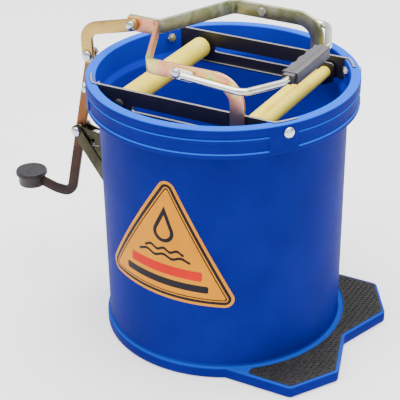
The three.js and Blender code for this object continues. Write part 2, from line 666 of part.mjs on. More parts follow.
// ---- Carriage: yoke, pull arm, end plates and press rollers ----------------------------
function yokeStrap() {
  const middle = STRAP_THICKNESS / 2 + TOUCH;
  const plan = roundedLine([
    [yokeBoltX - STRAP_END, middle],
    [yokeBoltX + YOKE_SPLIT, middle, YOKE_PLAN_BEND],
    [yokeSpreadX, strapY, YOKE_PLAN_BEND],
    [yokeSpreadX / 2, strapY],
  ]);
  const side = roundedLine([
    [yokeSpreadX / 2 - WALL, yokeZ],
    [pressX, yokeZ, YOKE_SHOULDER_BEND],
    [pressX, guideZ],
  ]);
  const foot = rodY(STRAP_WIDTH / 2, [strapY - STRAP_THICKNESS / 2, strapOuter], [pressX, guideZ]);
  return cut(
    join(
      plateXY(strip(plan, STRAP_THICKNESS), yokeZ - STRAP_WIDTH / 2, yokeZ + STRAP_WIDTH / 2),
      plateXZ(strip(side, STRAP_WIDTH), STRAP_THICKNESS, strapY),
      foot,
    ),
    rodY(BOLT_RADIUS + RUN, [-WALL, 2 * middle + WALL], [yokeBoltX, yokeZ]),
    rodY(PIVOT_RADIUS + RUN, [strapY - WALL, strapOuter + WALL], [pressX, guideZ]),
    rodY(RIVET_RADIUS + RUN, [strapY - WALL, strapOuter + WALL], [0, yokeZ]),
  );
}

function endPlate() {
  const [dx, dz] = PRESS_PITCH;
  const middle = guideZ + dz / 2;
  const [left, right] = [pressX - END_PLATE_MARGIN, pressX + dx + END_PLATE_MARGIN];
  const [low, high] = [middle - END_PLATE_HEIGHT / 2, middle + END_PLATE_HEIGHT / 2];
  const corners = [[left, low], [right, low], [right, high], [left, high]];
  const outline = new THREE.Shape(
    roundedLine(corners.map((corner) => [...corner, END_PLATE_CORNER]), true),
  );
  const bore = (x, z) => rodY(PIVOT_RADIUS + RUN, [0, railY], [x, z]);
  return cut(plateXZ(outline, END_PLATE_THICKNESS, endPlateY),
    bore(pressX, guideZ), bore(pressX + dx, guideZ + dz));
}

function pullArm() {
  const middle = (armNearY + armFarY) / 2;
  const line = roundedLine([
    [link[0], link[1] - ARM_FOOT],
    [link[0] - ARM_LEAN, link[1] + ARM_RISE, ARM_BEND],
    [yokeBoltX, yokeZ],
  ]);
  const [dip, rise] = LINK_TRAVEL;
  const slotLine = [
    new THREE.Vector2(link[0], link[1] - dip),
    new THREE.Vector2(link[0], link[1] + rise),
  ];
  return cut(
    plateXZ(strip(line, ARM_WIDTH, true), ARM_THICKNESS, middle),
    plateXZ(strip(slotLine, 2 * (PIVOT_RADIUS + LOOSE), true), 2 * ARM_THICKNESS, middle),
    rodY(BOLT_RADIUS + RUN, [armNearY - PAST, 0], [yokeBoltX, yokeZ]),
  );
}

function outerPressAxle() {
  const seat = endPlateY + END_PLATE_THICKNESS / 2 + TOUCH;
  const end = seat + AXLE_HEAD_HEIGHT;
  return turnedY([
    [0, -end],
    [AXLE_HEAD_RADIUS, -end],
    [AXLE_HEAD_RADIUS, -seat],
    [PIVOT_RADIUS, -seat],
    [PIVOT_RADIUS, seat],
    [AXLE_HEAD_RADIUS, seat],
    [AXLE_HEAD_RADIUS, end],
    [0, end],
  ]);
}

function pressRollers() {
  const [dx, dz] = PRESS_PITCH;
  const nutEnd = strapOuter + TOUCH + NUT_HEIGHT;
  const press = roller(PRESS_ROLLER_RADIUS, PIVOT_RADIUS + RUN);
  return [
    assembly([pressX, guideZ],
      piece("press_roller_inner", press, "creamPlastic"),
      piece("press_axle_inner", domedBolt(PIVOT_RADIUS, BOLT_HEAD_RADIUS, BOLT_HEAD_HEIGHT,
        -(strapOuter + TOUCH), nutEnd + BOLT_TIP), "brightZinc"),
      piece("press_axle_nut", hexNut(NUT_RADIUS, PIVOT_RADIUS + RUN,
        [strapOuter + TOUCH, nutEnd]), "brightZinc"),
    ),
    assembly([pressX + dx, guideZ + dz],
      piece("press_roller_outer", press.clone(), "creamPlastic"),
      piece("press_axle_outer", outerPressAxle(), "brightZinc"),
    ),
  ];
}

function handleRivet() {
  const inner = strapY - STRAP_THICKNESS / 2 - TOUCH;
  const outer = handleEyeOuter() + TOUCH;
  const head = [...DOME].reverse().map(([r, h]) => [r * RIVET_HEAD_RADIUS, outer + h * RIVET_HEAD_HEIGHT]);
  return turnedY([
    [0, inner - RIVET_BACK_HEIGHT],
    [RIVET_HEAD_RADIUS - CHAMFER, inner - RIVET_BACK_HEIGHT],
    [RIVET_HEAD_RADIUS, inner - CHAMFER],
    [RIVET_HEAD_RADIUS, inner],
    [RIVET_RADIUS, inner],
    [RIVET_RADIUS, outer],
    ...head,
  ]);
}

function yokeFasteners() {
  const farSide = STRAP_THICKNESS + 2 * TOUCH;
  return assembly([yokeBoltX, yokeZ],
    piece("yoke_bolt", domedBolt(BOLT_RADIUS, BOLT_HEAD_RADIUS, BOLT_HEAD_HEIGHT,
      armNearY - TOUCH, farSide + NUT_HEIGHT + BOLT_TIP), "brightZinc"),
    piece("yoke_nut", hexNut(NUT_RADIUS, BOLT_RADIUS + RUN, [farSide, farSide + NUT_HEIGHT]), "brightZinc"),
  );
}

// ---- Carry handle, drawn about its hinge at (0, yokeZ) ---------------------------------
function handleEyeOuter() {
  return handleY - HANDLE_ROD_RADIUS + HANDLE_EYE_THICKNESS;
}

// A rod path of straight runs whose corners are rounded by curves that start `ease` away.
function rodPath(corners, ease) {
  const points = corners.map((corner) => new THREE.Vector3(...corner));
  const path = new THREE.CurvePath();
  let from = points[0];
  for (let i = 1; i < points.length - 1; i++) {
    const toward = (other) => other.clone().sub(points[i]).setLength(ease).add(points[i]);
    const [start, end] = [toward(points[i - 1]), toward(points[i + 1])];
    path.add(new THREE.LineCurve3(from, start));
    path.add(new THREE.QuadraticBezierCurve3(start, points[i], end));
    from = end;
  }
  path.add(new THREE.LineCurve3(from, points[points.length - 1]));
  return path;
}

function handleRod(radius) {
  const half = [
    [HANDLE_START, handleY, -HANDLE_START_DROP],
    [knee[0], handleY, knee[1]],
    [gripRod[0], HANDLE_INNER_Y, gripRod[1]],
  ];
  const mirrored = half.map(([x, y, z]) => [x, -y, z]).reverse();
  const path = rodPath([...half, ...mirrored], HANDLE_EASE);
  const section = Array.from({ length: ROD_SIDES }, (_, i) => {
    const angle = (2 * Math.PI * i) / ROD_SIDES;
    return new THREE.Vector2(radius * Math.cos(angle), radius * Math.sin(angle));
  });
  return new THREE.ExtrudeGeometry(new THREE.Shape(section),
    { extrudePath: path, steps: ROD_STEPS, bevelEnabled: false });
}

function carryHandle() {
  const middle = handleEyeOuter() - HANDLE_EYE_THICKNESS / 2;
  const eyeLine = [new THREE.Vector2(0, 0), new THREE.Vector2(2 * HANDLE_START, -2 * HANDLE_START_DROP)];
  const eyes = [-1, 1].map((way) =>
    plateXZ(strip(eyeLine, 2 * HANDLE_EYE_RADIUS, true), HANDLE_EYE_THICKNESS, way * middle),
  );
  const bores = [-1, 1].map((way) =>
    rodY(RIVET_RADIUS + RUN, [way * middle - WALL, way * middle + WALL]),
  );
  return cut(join(handleRod(HANDLE_ROD_RADIUS), ...eyes), ...bores);
}

function handleGrip() {
  const [x, z] = [gripRod[0], gripRod[1] + GRIP_RISE];
  const [halfWidth, halfHeight] = [GRIP_WIDTH / 2, GRIP_HEIGHT / 2];
  const outline = new THREE.Shape(roundedLine([
    [x - halfWidth + GRIP_TAPER, z - halfHeight, GRIP_CORNER],
    [x + halfWidth - GRIP_TAPER, z - halfHeight, GRIP_CORNER],
    [x + halfWidth, z + halfHeight, GRIP_CORNER],
    [x - halfWidth, z + halfHeight, GRIP_CORNER],
  ], true));
  return cut(plateXZ(outline, 2 * GRIP_HALF_LENGTH), handleRod(HANDLE_ROD_RADIUS + TOUCH));
}

// ---- Lever and pedal, drawn about the lever's pivot ------------------------------------
function lever() {
  const line = roundedLine([
    LINK_FROM_PIVOT,
    [...LEVER_BEND, LEVER_BENDS[0]],
    [...LEVER_TOE, LEVER_BENDS[1]],
    LEVER_TIP,
  ]);
  return cut(
    plateXZ(strip(line, LEVER_WIDTH, true), LEVER_THICKNESS),
    rodY(PIVOT_RADIUS + RUN, [-LEVER_THICKNESS, LEVER_THICKNESS]),
    rodY(PIVOT_RADIUS + RUN, [-LEVER_THICKNESS, LEVER_THICKNESS], LINK_FROM_PIVOT),
  );
}

// A rubber pad on the lever's tip, with the tip's own slot moulded into it.
function pedalPad() {
  const [low, high] = [-PEDAL_HEIGHT / 2, PEDAL_HEIGHT / 2];
  const pad = turnedZ([
    [0, low],
    [PEDAL_RADIUS - PEDAL_ROUND, low],
    [PEDAL_RADIUS, low + PEDAL_ROUND],
    [PEDAL_RADIUS, high - PEDAL_LIP - PEDAL_ROUND / 2],
    [PEDAL_LIP_RADIUS, high - PEDAL_LIP],
    [PEDAL_LIP_RADIUS, high - PEDAL_ROUND],
    [PEDAL_LIP_RADIUS - PEDAL_ROUND, high],
    [0, high],
  ], ROLLER_SIDES).translate(PEDAL_FROM_PIVOT[0], 0, PEDAL_FROM_PIVOT[1]);
  const line = roundedLine([LEVER_BEND, [...LEVER_TOE, LEVER_BENDS[1]], LEVER_TIP]);
  return cut(pad, plateXZ(strip(line, LEVER_WIDTH + 2 * TOUCH, true), LEVER_THICKNESS + 2 * TOUCH));
}

function leverAssembly() {
  const far = LEVER_THICKNESS / 2 + TOUCH;
  const [dx, dz] = LINK_FROM_PIVOT;
  const washer = ringY(PIVOT_RADIUS + RUN, WASHER_RADIUS, [-far - linkWasher, -far]);
  return assembly(pivot,
    piece("lever", lever(), "brownZinc"),
    piece("pedal_pad", pedalPad(), "blackRubber"),
    piece("link_pin", domedBolt(PIVOT_RADIUS, LINK_HEAD_RADIUS, BOLT_HEAD_HEIGHT,
      armNearY - TOUCH, far + NUT_HEIGHT + BOLT_TIP), "brightZinc", [dx, 0, dz]),
    piece("link_washer", washer, "brightZinc", [dx, 0, dz]),
    piece("link_nut", hexNut(NUT_RADIUS, PIVOT_RADIUS + RUN, [far, far + NUT_HEIGHT]),
      "brightZinc", [dx, 0, dz]),
  );
}

// ---- Bracket on the bucket's wall ------------------------------------------------------
const webBack = padFace - TOUCH; // back of the steel that lies on the moulded seats
const webFront = webBack - BRACKET_THICKNESS;

const screwBores = (z) => [-1, 1].map((way) =>
  rodY(SCREW_RADIUS + RUN, [-2 * BRACKET_THICKNESS, 2 * BRACKET_THICKNESS])
    .rotateZ(-Math.PI / 2)
    .translate(webFront, way * SCREW_Y, z),
);

function pivotBracket() {
  const [low, high] = UPPER_PAD_Z.map((z) => BUCKET_HEIGHT + z);
  const middle = (low + high) / 2;
  const halfWidth = PAD_HALF_WIDTH - PLATE_MARGIN;
  const web = block([webFront, webBack], [-halfWidth, halfWidth], [low + PLATE_MARGIN, high - PLATE_MARGIN]);
  const line = [new THREE.Vector2(...pivot), new THREE.Vector2(webBack, middle)];
  const cheeks = [-1, 1].map((way) =>
    plateXZ(strip(line, CHEEK_WIDTH, true), CHEEK_THICKNESS, way * CHEEK_Y),
  );
  const trim = block([webBack, 0], [-PAD_HALF_WIDTH, PAD_HALF_WIDTH], [0, BUCKET_HEIGHT]);
  const across = [-2 * CHEEK_Y, 2 * CHEEK_Y];
  return cut(join(web, ...cheeks), trim, rodY(PIVOT_RADIUS + RUN, across, pivot),
    rodY(SPRING_PIN_RADIUS + RUN, across, springPin), ...screwBores(middle));
}

function stay() {
  const [low, high] = LOWER_PAD_Z.map((z) => BUCKET_HEIGHT + z);
  const middle = (low + high) / 2;
  const thickness = BRACKET_THICKNESS;
  const inner = STAY_Y - thickness / 2;
  const line = [new THREE.Vector2(...pivot), new THREE.Vector2(webBack, middle + STAY_FOOT_RISE)];
  const foot = block([webFront, webBack], [inner, PAD_HALF_WIDTH - PLATE_MARGIN],
    [low + PLATE_MARGIN, high - PLATE_MARGIN]);
  const trim = block([webBack, 0], [0, 2 * PAD_HALF_WIDTH], [0, BUCKET_HEIGHT]);
  return cut(join(plateXZ(strip(line, STAY_WIDTH, true), thickness, STAY_Y), foot), trim,
    rodY(PIVOT_RADIUS + RUN, [0, 2 * STAY_Y], pivot), ...screwBores(middle));
}

function bracketScrews() {
  const screw = domedBolt(SCREW_RADIUS, SCREW_HEAD_RADIUS, SCREW_HEAD_HEIGHT, 0,
    TOUCH + BRACKET_THICKNESS + SCREW_DEPTH);
  const names = ["upper_near", "upper_far", "lower_near", "lower_far"];
  return screwPlaces.map(([way, padZ], i) => {
    const mesh = piece(`bracket_screw_${names[i]}`, screw, "brightZinc",
      [webFront - TOUCH, way * SCREW_Y, BUCKET_HEIGHT + (padZ[0] + padZ[1]) / 2]);
    mesh.rotation.z = -Math.PI / 2;
    return mesh;
  });
}

function pivotFasteners() {
  const stayOuter = STAY_Y + BRACKET_THICKNESS / 2 + TOUCH;
  const gap = [LEVER_THICKNESS / 2 + TOUCH, LEVER_THICKNESS / 2 + TOUCH + WASHER_THICKNESS];
  return assembly(pivot,
    piece("pivot_bolt", domedBolt(PIVOT_RADIUS, BOLT_HEAD_RADIUS, BOLT_HEAD_HEIGHT,
      -stayOuter, stayOuter + NUT_HEIGHT + BOLT_TIP), "brightZinc"),
    piece("pivot_nut", hexNut(NUT_RADIUS, PIVOT_RADIUS + RUN,
      [stayOuter, stayOuter + NUT_HEIGHT]), "brightZinc"),
    ...bothSides("pivot_washer", ringY(PIVOT_RADIUS + RUN, WASHER_RADIUS, gap), "brightZinc"),
  );
}

// The torsion spring's outer shape: a sleeve for its turns, and two straight legs.
function returnSpring() {
  const wire = SPRING_WIRE;
  const middle = SPRING_RADIUS - wire / 2;
  const leverSlope = LEVER_BEND[0] / LEVER_BEND[1];
  const legZ = -SPRING_RADIUS - SPRING_LEG_DROP;
  const leverEdge = -SPRING_FROM_PIVOT[0] + leverSlope * (legZ + SPRING_FROM_PIVOT[1]) + LEVER_WIDTH / 2;
  const leverLeg = [new THREE.Vector2(0, -middle), new THREE.Vector2(leverEdge + wire, legZ)];
  const webLeg = [new THREE.Vector2(0, -middle), new THREE.Vector2(webFront - springPin[0] - TOUCH, -middle)];
  return join(
    ringY(SPRING_RADIUS - wire, SPRING_RADIUS, [-SPRING_HALF_WIDTH, SPRING_HALF_WIDTH]),
    plateXZ(strip(leverLeg, wire), wire, -wire),
    plateXZ(strip(webLeg, wire), wire, SPRING_HALF_WIDTH - wire / 2),
  );
}

// ---- The whole object ------------------------------------------------------------------
const model = new THREE.Group();
model.add(
  piece("bucket", bucket(), "bluePlastic"),
  piece("foot_plate_tread", tread(0, FOOT_HEIGHT - TREAD_RECESS + TOUCH,
    FOOT_HEIGHT - TREAD_RECESS + TOUCH + TREAD_THICKNESS), "blackRubber"),
  piece("caution_label", labelSheet(), "labelFilm"),
  ...bothSides("side_rail", sideRail(), "blackPaint"),
  ...rimFasteners(),
  fixedRoller(),
  piece("pivot_bracket", pivotBracket(), "yellowZinc"),
  ...bothSides("stay", stay(), "yellowZinc"),
  ...bracketScrews(),
  pivotFasteners(),
  assembly(springPin,
    piece("spring_pin", rodY(SPRING_PIN_RADIUS,
      [-CHEEK_Y - CHEEK_THICKNESS / 2, CHEEK_Y + CHEEK_THICKNESS / 2]), "brightZinc"),
    piece("return_spring", returnSpring(), "brightZinc"),
  ),
  leverAssembly(),
  ...bothSides("yoke_strap", yokeStrap(), "yellowZinc"),
  piece("pull_arm", pullArm(), "yellowZinc"),
  yokeFasteners(),
  ...bothSides("end_plate", endPlate(), "blackPaint"),
  ...pressRollers(),
  assembly([0, yokeZ],
    ...bothSides("handle_rivet", handleRivet(), "brightZinc"),
    piece("carry_handle", carryHandle(), "brightZinc"),
    piece("handle_grip", handleGrip(), "charcoalPlastic"),
  ),
);

export default model;
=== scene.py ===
# %% [markdown]
# # A mop bucket with a pedal wringer
# A round polypropylene bucket carries a wringer: two steel rails across its mouth, a fixed roller, and a
# yoke of bent steel strap that pulls two more rollers towards it when a pedal is pressed.
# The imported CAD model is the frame: every piece below is placed by its sizes and rides on its bodies.

# %% The frame
import math

import bmesh
import bpy
from mathutils import Matrix, Vector


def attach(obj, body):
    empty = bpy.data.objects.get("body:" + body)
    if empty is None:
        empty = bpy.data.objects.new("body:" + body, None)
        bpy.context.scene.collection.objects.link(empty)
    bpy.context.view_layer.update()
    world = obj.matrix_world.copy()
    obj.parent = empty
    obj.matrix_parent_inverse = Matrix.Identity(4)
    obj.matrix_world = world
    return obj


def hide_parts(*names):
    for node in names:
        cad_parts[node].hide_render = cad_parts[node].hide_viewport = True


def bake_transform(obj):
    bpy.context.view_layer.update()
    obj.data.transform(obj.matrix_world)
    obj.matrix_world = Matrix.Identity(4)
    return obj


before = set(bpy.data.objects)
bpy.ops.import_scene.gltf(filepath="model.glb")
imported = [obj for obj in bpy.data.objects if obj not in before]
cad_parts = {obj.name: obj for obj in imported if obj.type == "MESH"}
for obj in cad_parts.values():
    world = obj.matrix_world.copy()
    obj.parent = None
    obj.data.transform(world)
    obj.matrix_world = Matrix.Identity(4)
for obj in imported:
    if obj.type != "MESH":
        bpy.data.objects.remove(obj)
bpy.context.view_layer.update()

MM = 0.001

# %% [markdown]
# ## The camera
# A long lens seen from about 28 degrees above keeps the bucket's sides nearly parallel.
# Its turn, tilt and roll are written as three angles, which are easier to read than a matrix.

# %% Camera
CAMERA_PLACE = Vector((673.5, -1258.0, 930.4)) * MM
CAMERA_TURN, CAMERA_TILT, CAMERA_ROLL = math.radians(29.28), math.radians(28.52), -0.014
LENS = 123.7
ahead = Vector((-math.sin(CAMERA_TURN) * math.cos(CAMERA_TILT),
                math.cos(CAMERA_TURN) * math.cos(CAMERA_TILT), -math.sin(CAMERA_TILT)))
level = Vector((math.cos(CAMERA_TURN), math.sin(CAMERA_TURN), 0))
upright = level.cross(ahead)
right = level * math.cos(CAMERA_ROLL) + upright * math.sin(CAMERA_ROLL)
top = upright * math.cos(CAMERA_ROLL) - level * math.sin(CAMERA_ROLL)
camera = bpy.data.objects.new("camera", bpy.data.cameras.new("camera"))
camera.data.lens = LENS
camera.data.sensor_width = 36
camera.matrix_world = Matrix.Translation(CAMERA_PLACE) @ Matrix((right, top, -ahead)).transposed().to_4x4()
bpy.context.collection.objects.link(camera)
bpy.context.scene.camera = camera
print("camera", [round(v, 3) for v in camera.location], "lens", LENS)

# %% [markdown]
# ## Colours and nodes
# Finishes are looked up as sRGB hex values, and a shader works in linear light, so one function converts.
# Another adds any kind of node with its settings and links, which keeps each material down to a few lines.

# %% Colour and node helpers
def linear(hex_colour):
    channels = [int(hex_colour[i:i + 2], 16) / 255 for i in (1, 3, 5)]
    return [c / 12.92 if c <= 0.04045 else ((c + 0.055) / 1.055) ** 2.4 for c in channels] + [1.0]


def add(tree, kind, inputs=None, **settings):
    node = tree.nodes.new("ShaderNode" + kind)
    for name, value in settings.items():
        setattr(node, name, value)
    for name, value in (inputs or {}).items():
        if isinstance(value, bpy.types.NodeSocket):
            tree.links.new(value, node.inputs[name])
        else:
            node.inputs[name].default_value = value
    return node


def new_material(name, **sockets):
    material = bpy.data.materials.new(name)
    material.use_nodes = True
    tree = material.node_tree
    tree.nodes.clear()
    shader = add(tree, "BsdfPrincipled", {k.replace("_", " "): v for k, v in sockets.items()})
    add(tree, "OutputMaterial", {"Surface": shader.outputs[0]})
    place = add(tree, "TexCoord").outputs["Object"]
    return material, tree, shader, place


def per_mm(size):
    return 1 / (size * MM)


def noise(tree, place, size, detail=3, roughness=0.55, distortion=0.0):
    inputs = {"Vector": place, "Scale": per_mm(size), "Detail": detail, "Roughness": roughness,
              "Distortion": distortion}
    return add(tree, "TexNoise", inputs).outputs["Fac"]


def ramp(tree, factor, *stops):
    node = add(tree, "ValToRGB", {"Fac": factor})
    while len(node.color_ramp.elements) < len(stops):
        node.color_ramp.elements.new(0.5)
    for element, (position, colour) in zip(node.color_ramp.elements, stops):
        element.position = position
        element.color = linear(colour) if isinstance(colour, str) else (colour, colour, colour, 1)
    return node.outputs["Color"]


def mixed(tree, factor, first, second, blend="MIX"):
    node = add(tree, "Mix", {0: factor, 6: first, 7: second}, data_type="RGBA", blend_type=blend,
               clamp_result=True)
    return node.outputs[2]


def bump(tree, shader, height, strength, depth_mm):
    inputs = {"Height": height, "Strength": strength, "Distance": depth_mm * MM}
    tree.links.new(add(tree, "Bump", inputs).outputs["Normal"], shader.inputs["Normal"])


def link(tree, value, socket):
    tree.links.new(value, socket)


def paint(tree, shader, colour):
    link(tree, colour, shader.inputs["Base Color"])


def calculated(tree, operation, first, second):
    return add(tree, "Math", {0: first, 1: second}, operation=operation).outputs[0]


def product(tree, *factors):
    total = factors[0]
    for factor in factors[1:]:
        total = calculated(tree, "MULTIPLY", total, factor)
    return total


def between(tree, value, low, high):
    """0 at low and 1 at high, which may be the smaller of the two."""
    return add(tree, "MapRange", {"Value": value, "From Min": low, "From Max": high}).outputs[0]


def vary_roughness(tree, shader, factor, low, high):
    spread = add(tree, "MapRange", {"Value": factor, "To Min": low, "To Max": high}).outputs[0]
    link(tree, spread, shader.inputs["Roughness"])


def height_of(tree, vector):
    return add(tree, "SeparateXYZ", {"Vector": vector}).outputs["Z"]


def facing_up(tree):
    """How far a face looks up: 1 for a level top, 0 for a wall, -1 for an underside."""
    return height_of(tree, add(tree, "NewGeometry").outputs["Normal"])


print("material helpers ready")

# %% [markdown]
# ## Moulded polypropylene
# The bucket is injection moulded polypropylene (PP), coloured right through, from a polished mould that
# leaves a soft satin gloss. The eye gets a deep, even blue, broad soft highlights, faint flow marks, and
# fine scuffs that scatter a little more light. IOR 1.49 is typical for PP. The rim, the ledges between the
# ribs and the ledge of the base ring face up, and a painted highlight makes them a paler blue.
# Inside, light that has passed through the wall adds to the colour, so the inner face is brighter.

# %% Blue polypropylene
FLOOR_EDGE = (0.131, 0.129)
# Strength and extent of the painted highlight on the rim and collar, and on the base ring.
RIM_HIGHLIGHT, RIM_HEIGHTS, RIM_RADII = 0.85, (0.27, 0.28), (0.1425, 0.1435)
RING_HIGHLIGHT, RING_HEIGHTS, RING_RADII = 0.4, (0.0175, 0.0155), (0.132, 0.134)
moulded_pp, tree, shader, place = new_material("moulded_polypropylene_blue", IOR=1.49, Roughness=0.5,
                                               Specular_IOR_Level=0.02)
cloud = noise(tree, place, 70, 2)
scuff_place = add(tree, "Mapping", {"Vector": place, "Scale": (1, 1, 0.12)}).outputs[0]
scuffs = ramp(tree, noise(tree, scuff_place, 1.6, 4, 0.7), (0.6, 0.0), (0.74, 1.0))
blue = ramp(tree, cloud, (0.3, "#0E166A"), (0.7, "#111B78"))
normal = add(tree, "NewGeometry").outputs["Normal"]
up_facing, height = height_of(tree, normal), height_of(tree, place)
from_axis = add(tree, "VectorMath", {0: place, 1: (1, 1, 0)}, operation="MULTIPLY").outputs["Vector"]
radius = add(tree, "VectorMath", {0: from_axis}, operation="LENGTH").outputs["Value"]
outward = add(tree, "VectorMath", {0: from_axis}, operation="NORMALIZE").outputs["Vector"]
facing_out = add(tree, "VectorMath", {0: outward, 1: normal}, operation="DOT_PRODUCT").outputs["Value"]
on_floor = product(tree, between(tree, up_facing, 0.3, 0.6), between(tree, radius, *FLOOR_EDGE))
inside = calculated(tree, "MAXIMUM", between(tree, facing_out, -0.15, -0.4), on_floor)
# Painted highlight: faces of the rim, the collar's ribs and the base ring that look up turn a paler blue.
rim_highlight = product(tree, between(tree, up_facing, 0.3, 0.8), between(tree, height, *RIM_HEIGHTS),
                  between(tree, radius, *RIM_RADII), RIM_HIGHLIGHT)
ring_highlight = product(tree, between(tree, up_facing, 0.1, 0.75), between(tree, height, *RING_HEIGHTS),
                    between(tree, radius, *RING_RADII), RING_HIGHLIGHT)
painted_highlight = calculated(tree, "MAXIMUM", rim_highlight, ring_highlight)
blue = mixed(tree, inside, blue, linear("#1832BC"))
blue = mixed(tree, product(tree, scuffs, 0.07), blue, linear("#3C68D8"))
# 1866EE is the pale blue of the painted highlight.
paint(tree, shader, mixed(tree, painted_highlight, blue, linear("#1866EE")))
vary_roughness(tree, shader, noise(tree, place, 9, 4), 0.42, 0.58)
bump(tree, shader, noise(tree, place, 14, 3), 0.12, 0.25)
print("material", moulded_pp.name)

# %% [markdown]
# ## Passivated zinc
# The yoke, pull arm and bracket are mild steel plated with zinc and dipped in a yellow chromate. The film is
# so thin that it shows interference colours, and each dip comes out its own way: yellow with pink clouds on
# the near strap, green on the far one, straw on the arm and olive on the bracket and stays. The rod of the
# handle and the bright fasteners have a clear film. All of it is a metal, so it stays fully metallic, and
# only the colour and roughness drift, in patches 16 to 55 mm across.

# %% Zinc finishes
def plated_steel(name, tints, patch_mm, shine, grain_mm=0.9, cloud_seed=0.0):
    material, tree, shader, place = new_material(name, Metallic=1.0, Roughness=shine)
    moved = add(tree, "Mapping", {"Vector": place, "Location": (cloud_seed, 0, 0)}).outputs[0]
    patches = noise(tree, moved, patch_mm, 3, 0.5, 0.6)
    spacing = 0.44 / (len(tints) - 1)
    stops = [(0.28 + i * spacing, tint) for i, tint in enumerate(tints)]
    fine = noise(tree, place, grain_mm * 4, 4, 0.7)
    dull = ramp(tree, fine, (0.35, 0.78), (0.65, 1.0))
    paint(tree, shader, mixed(tree, 0.55, ramp(tree, patches, *stops), dull, "MULTIPLY"))
    vary_roughness(tree, shader, patches, shine - 0.08, shine + 0.14)
    bump(tree, shader, noise(tree, place, grain_mm, 3), 0.25, 0.05)
    return material


yellow_zinc = plated_steel("yellow_passivated_zinc",
                           ("#9CC070", "#E8D878", "#F0BC84", "#F29878", "#F0CC80", "#B4D488"), 55, 0.36)
green_zinc = plated_steel("green_passivated_zinc",
                          ("#7C8A5C", "#A0A880", "#C0C4A4", "#98A070", "#B4B48C"), 38, 0.34, cloud_seed=0.3)
straw_zinc = plated_steel("straw_passivated_zinc",
                          ("#A07C3C", "#B49250", "#C0A05C", "#AC824C"), 45, 0.38, cloud_seed=0.6)
bright_zinc = plated_steel("bright_zinc_plate", ("#A9ADB0", "#CDD0D2", "#DADCDC"), 16, 0.28)
rod_zinc = plated_steel("bright_zinc_rod", ("#B9BD9C", "#DDE2CC", "#E9EBE0", "#C8CF9E"), 38, 0.24, 0.7)
olive_zinc = plated_steel("olive_passivated_zinc", ("#2E2D22", "#3E3C2F", "#504D3B"), 24, 0.42)
zinc_finishes = (yellow_zinc, green_zinc, straw_zinc, bright_zinc, rod_zinc, olive_zinc)
print("zinc finishes", [finish.name for finish in zinc_finishes])

# %% [markdown]
# ## Brown worn zinc
# The lever has the same plate, but hands, shoes and dirty water have browned it: coppery above, and nearly
# black-brown near the pedal. A ramp up the lever's height does that, with noise to break its edge.

# %% Lever finish
DARKEST_HEIGHT, PALEST_HEIGHT, BROKEN_EDGE = 0.14, 0.36, 0.08
worn_brown_zinc, tree, shader, place = new_material("worn_brown_zinc", Metallic=0.7, Roughness=0.42)
drift = product(tree, noise(tree, place, 26, 4), BROKEN_EDGE)
lifted = calculated(tree, "ADD", height_of(tree, place), drift)
share = between(tree, lifted, DARKEST_HEIGHT, PALEST_HEIGHT)
browns = ramp(tree, share, (0.0, "#180D0A"), (0.35, "#34180F"), (0.56, "#6E421C"), (1.0, "#845A32"))
paint(tree, shader, browns)
vary_roughness(tree, shader, noise(tree, place, 7, 4), 0.32, 0.55)
bump(tree, shader, noise(tree, place, 0.9, 3), 0.3, 0.06)
print("material", worn_brown_zinc.name)

# %% [markdown]
# ## Worn black paint
# The rails and end plates are steel with a thin black enamel. The mop and its strings have rubbed the top
# edges back to grey metal, so the material reads which way a face looks, adds a few flecks, and mixes two
# finishes. The fixed roller's bolt and nut are painted with the rails, and nothing rubs them.

# %% Rail finish
black_enamel, tree, shader, place = new_material("worn_black_enamel", IOR=1.5, Roughness=0.4)
rub = product(tree, between(tree, facing_up(tree), 0.35, 0.7), noise(tree, place, 5, 5, 0.65))
worn = ramp(tree, rub, (0.16, 0.0), (0.30, 1.0))
flecks = ramp(tree, noise(tree, place, 2.2, 5, 0.7), (0.66, 0.0), (0.72, 0.5))
bare = mixed(tree, 1.0, worn, flecks, "LIGHTEN")
paint(tree, shader, mixed(tree, bare, linear("#1A1920"), linear("#A9A6A6")))
vary_roughness(tree, shader, noise(tree, place, 8, 3), 0.34, 0.55)
link(tree, product(tree, bare, 0.7), shader.inputs["Metallic"])
bump(tree, shader, noise(tree, place, 2.5, 3), 0.2, 0.08)
plain_black = new_material("black_painted_fastener", Base_Color=linear("#131216"), Roughness=0.5)[0]
print("materials", black_enamel.name, plain_black.name)

# %% [markdown]
# ## Cream nylon, charcoal ABS and black rubber
# The rollers are turned nylon tube in a butter cream, a little see-through, so light softens under the skin.
# The grip is charcoal ABS, with a painted sheen on its top. The tread and the pedal are black rubber: rough,
# the tread with dust on its top and the pedal paler and speckled on its top.

# %% Plastic and rubber finishes
def satin_plastic(name, dark, light, patch_mm, roughness, grain_mm, grain, **sockets):
    material, tree, shader, place = new_material(name, **sockets)
    patches = noise(tree, place, patch_mm, 4, 0.6)
    paint(tree, shader, ramp(tree, patches, (0.32, dark), (0.68, light)))
    vary_roughness(tree, shader, noise(tree, place, patch_mm / 3, 4), roughness - 0.08, roughness + 0.1)
    bump(tree, shader, noise(tree, place, grain_mm, 3), grain, 0.15)
    return material


cream_nylon = satin_plastic("cream_nylon", "#F4D63C", "#FFEC5C", 30, 0.46, 1.6, 0.2, IOR=1.53,
                            Specular_IOR_Level=0.2, Subsurface_Weight=0.12, Subsurface_Scale=0.004)
charcoal_abs = satin_plastic("charcoal_abs", "#1E1A22", "#2C2830", 18, 0.5, 0.8, 0.3, IOR=1.54)
tread_rubber = satin_plastic("black_tread_rubber", "#080708", "#181617", 12, 0.62, 1.2, 0.5, IOR=1.52,
                             Specular_IOR_Level=0.3)
pedal_rubber = satin_plastic("worn_pedal_rubber", "#1E1414", "#2E2222", 9, 0.5, 0.9, 0.4, IOR=1.52,
                             Specular_IOR_Level=0.3)


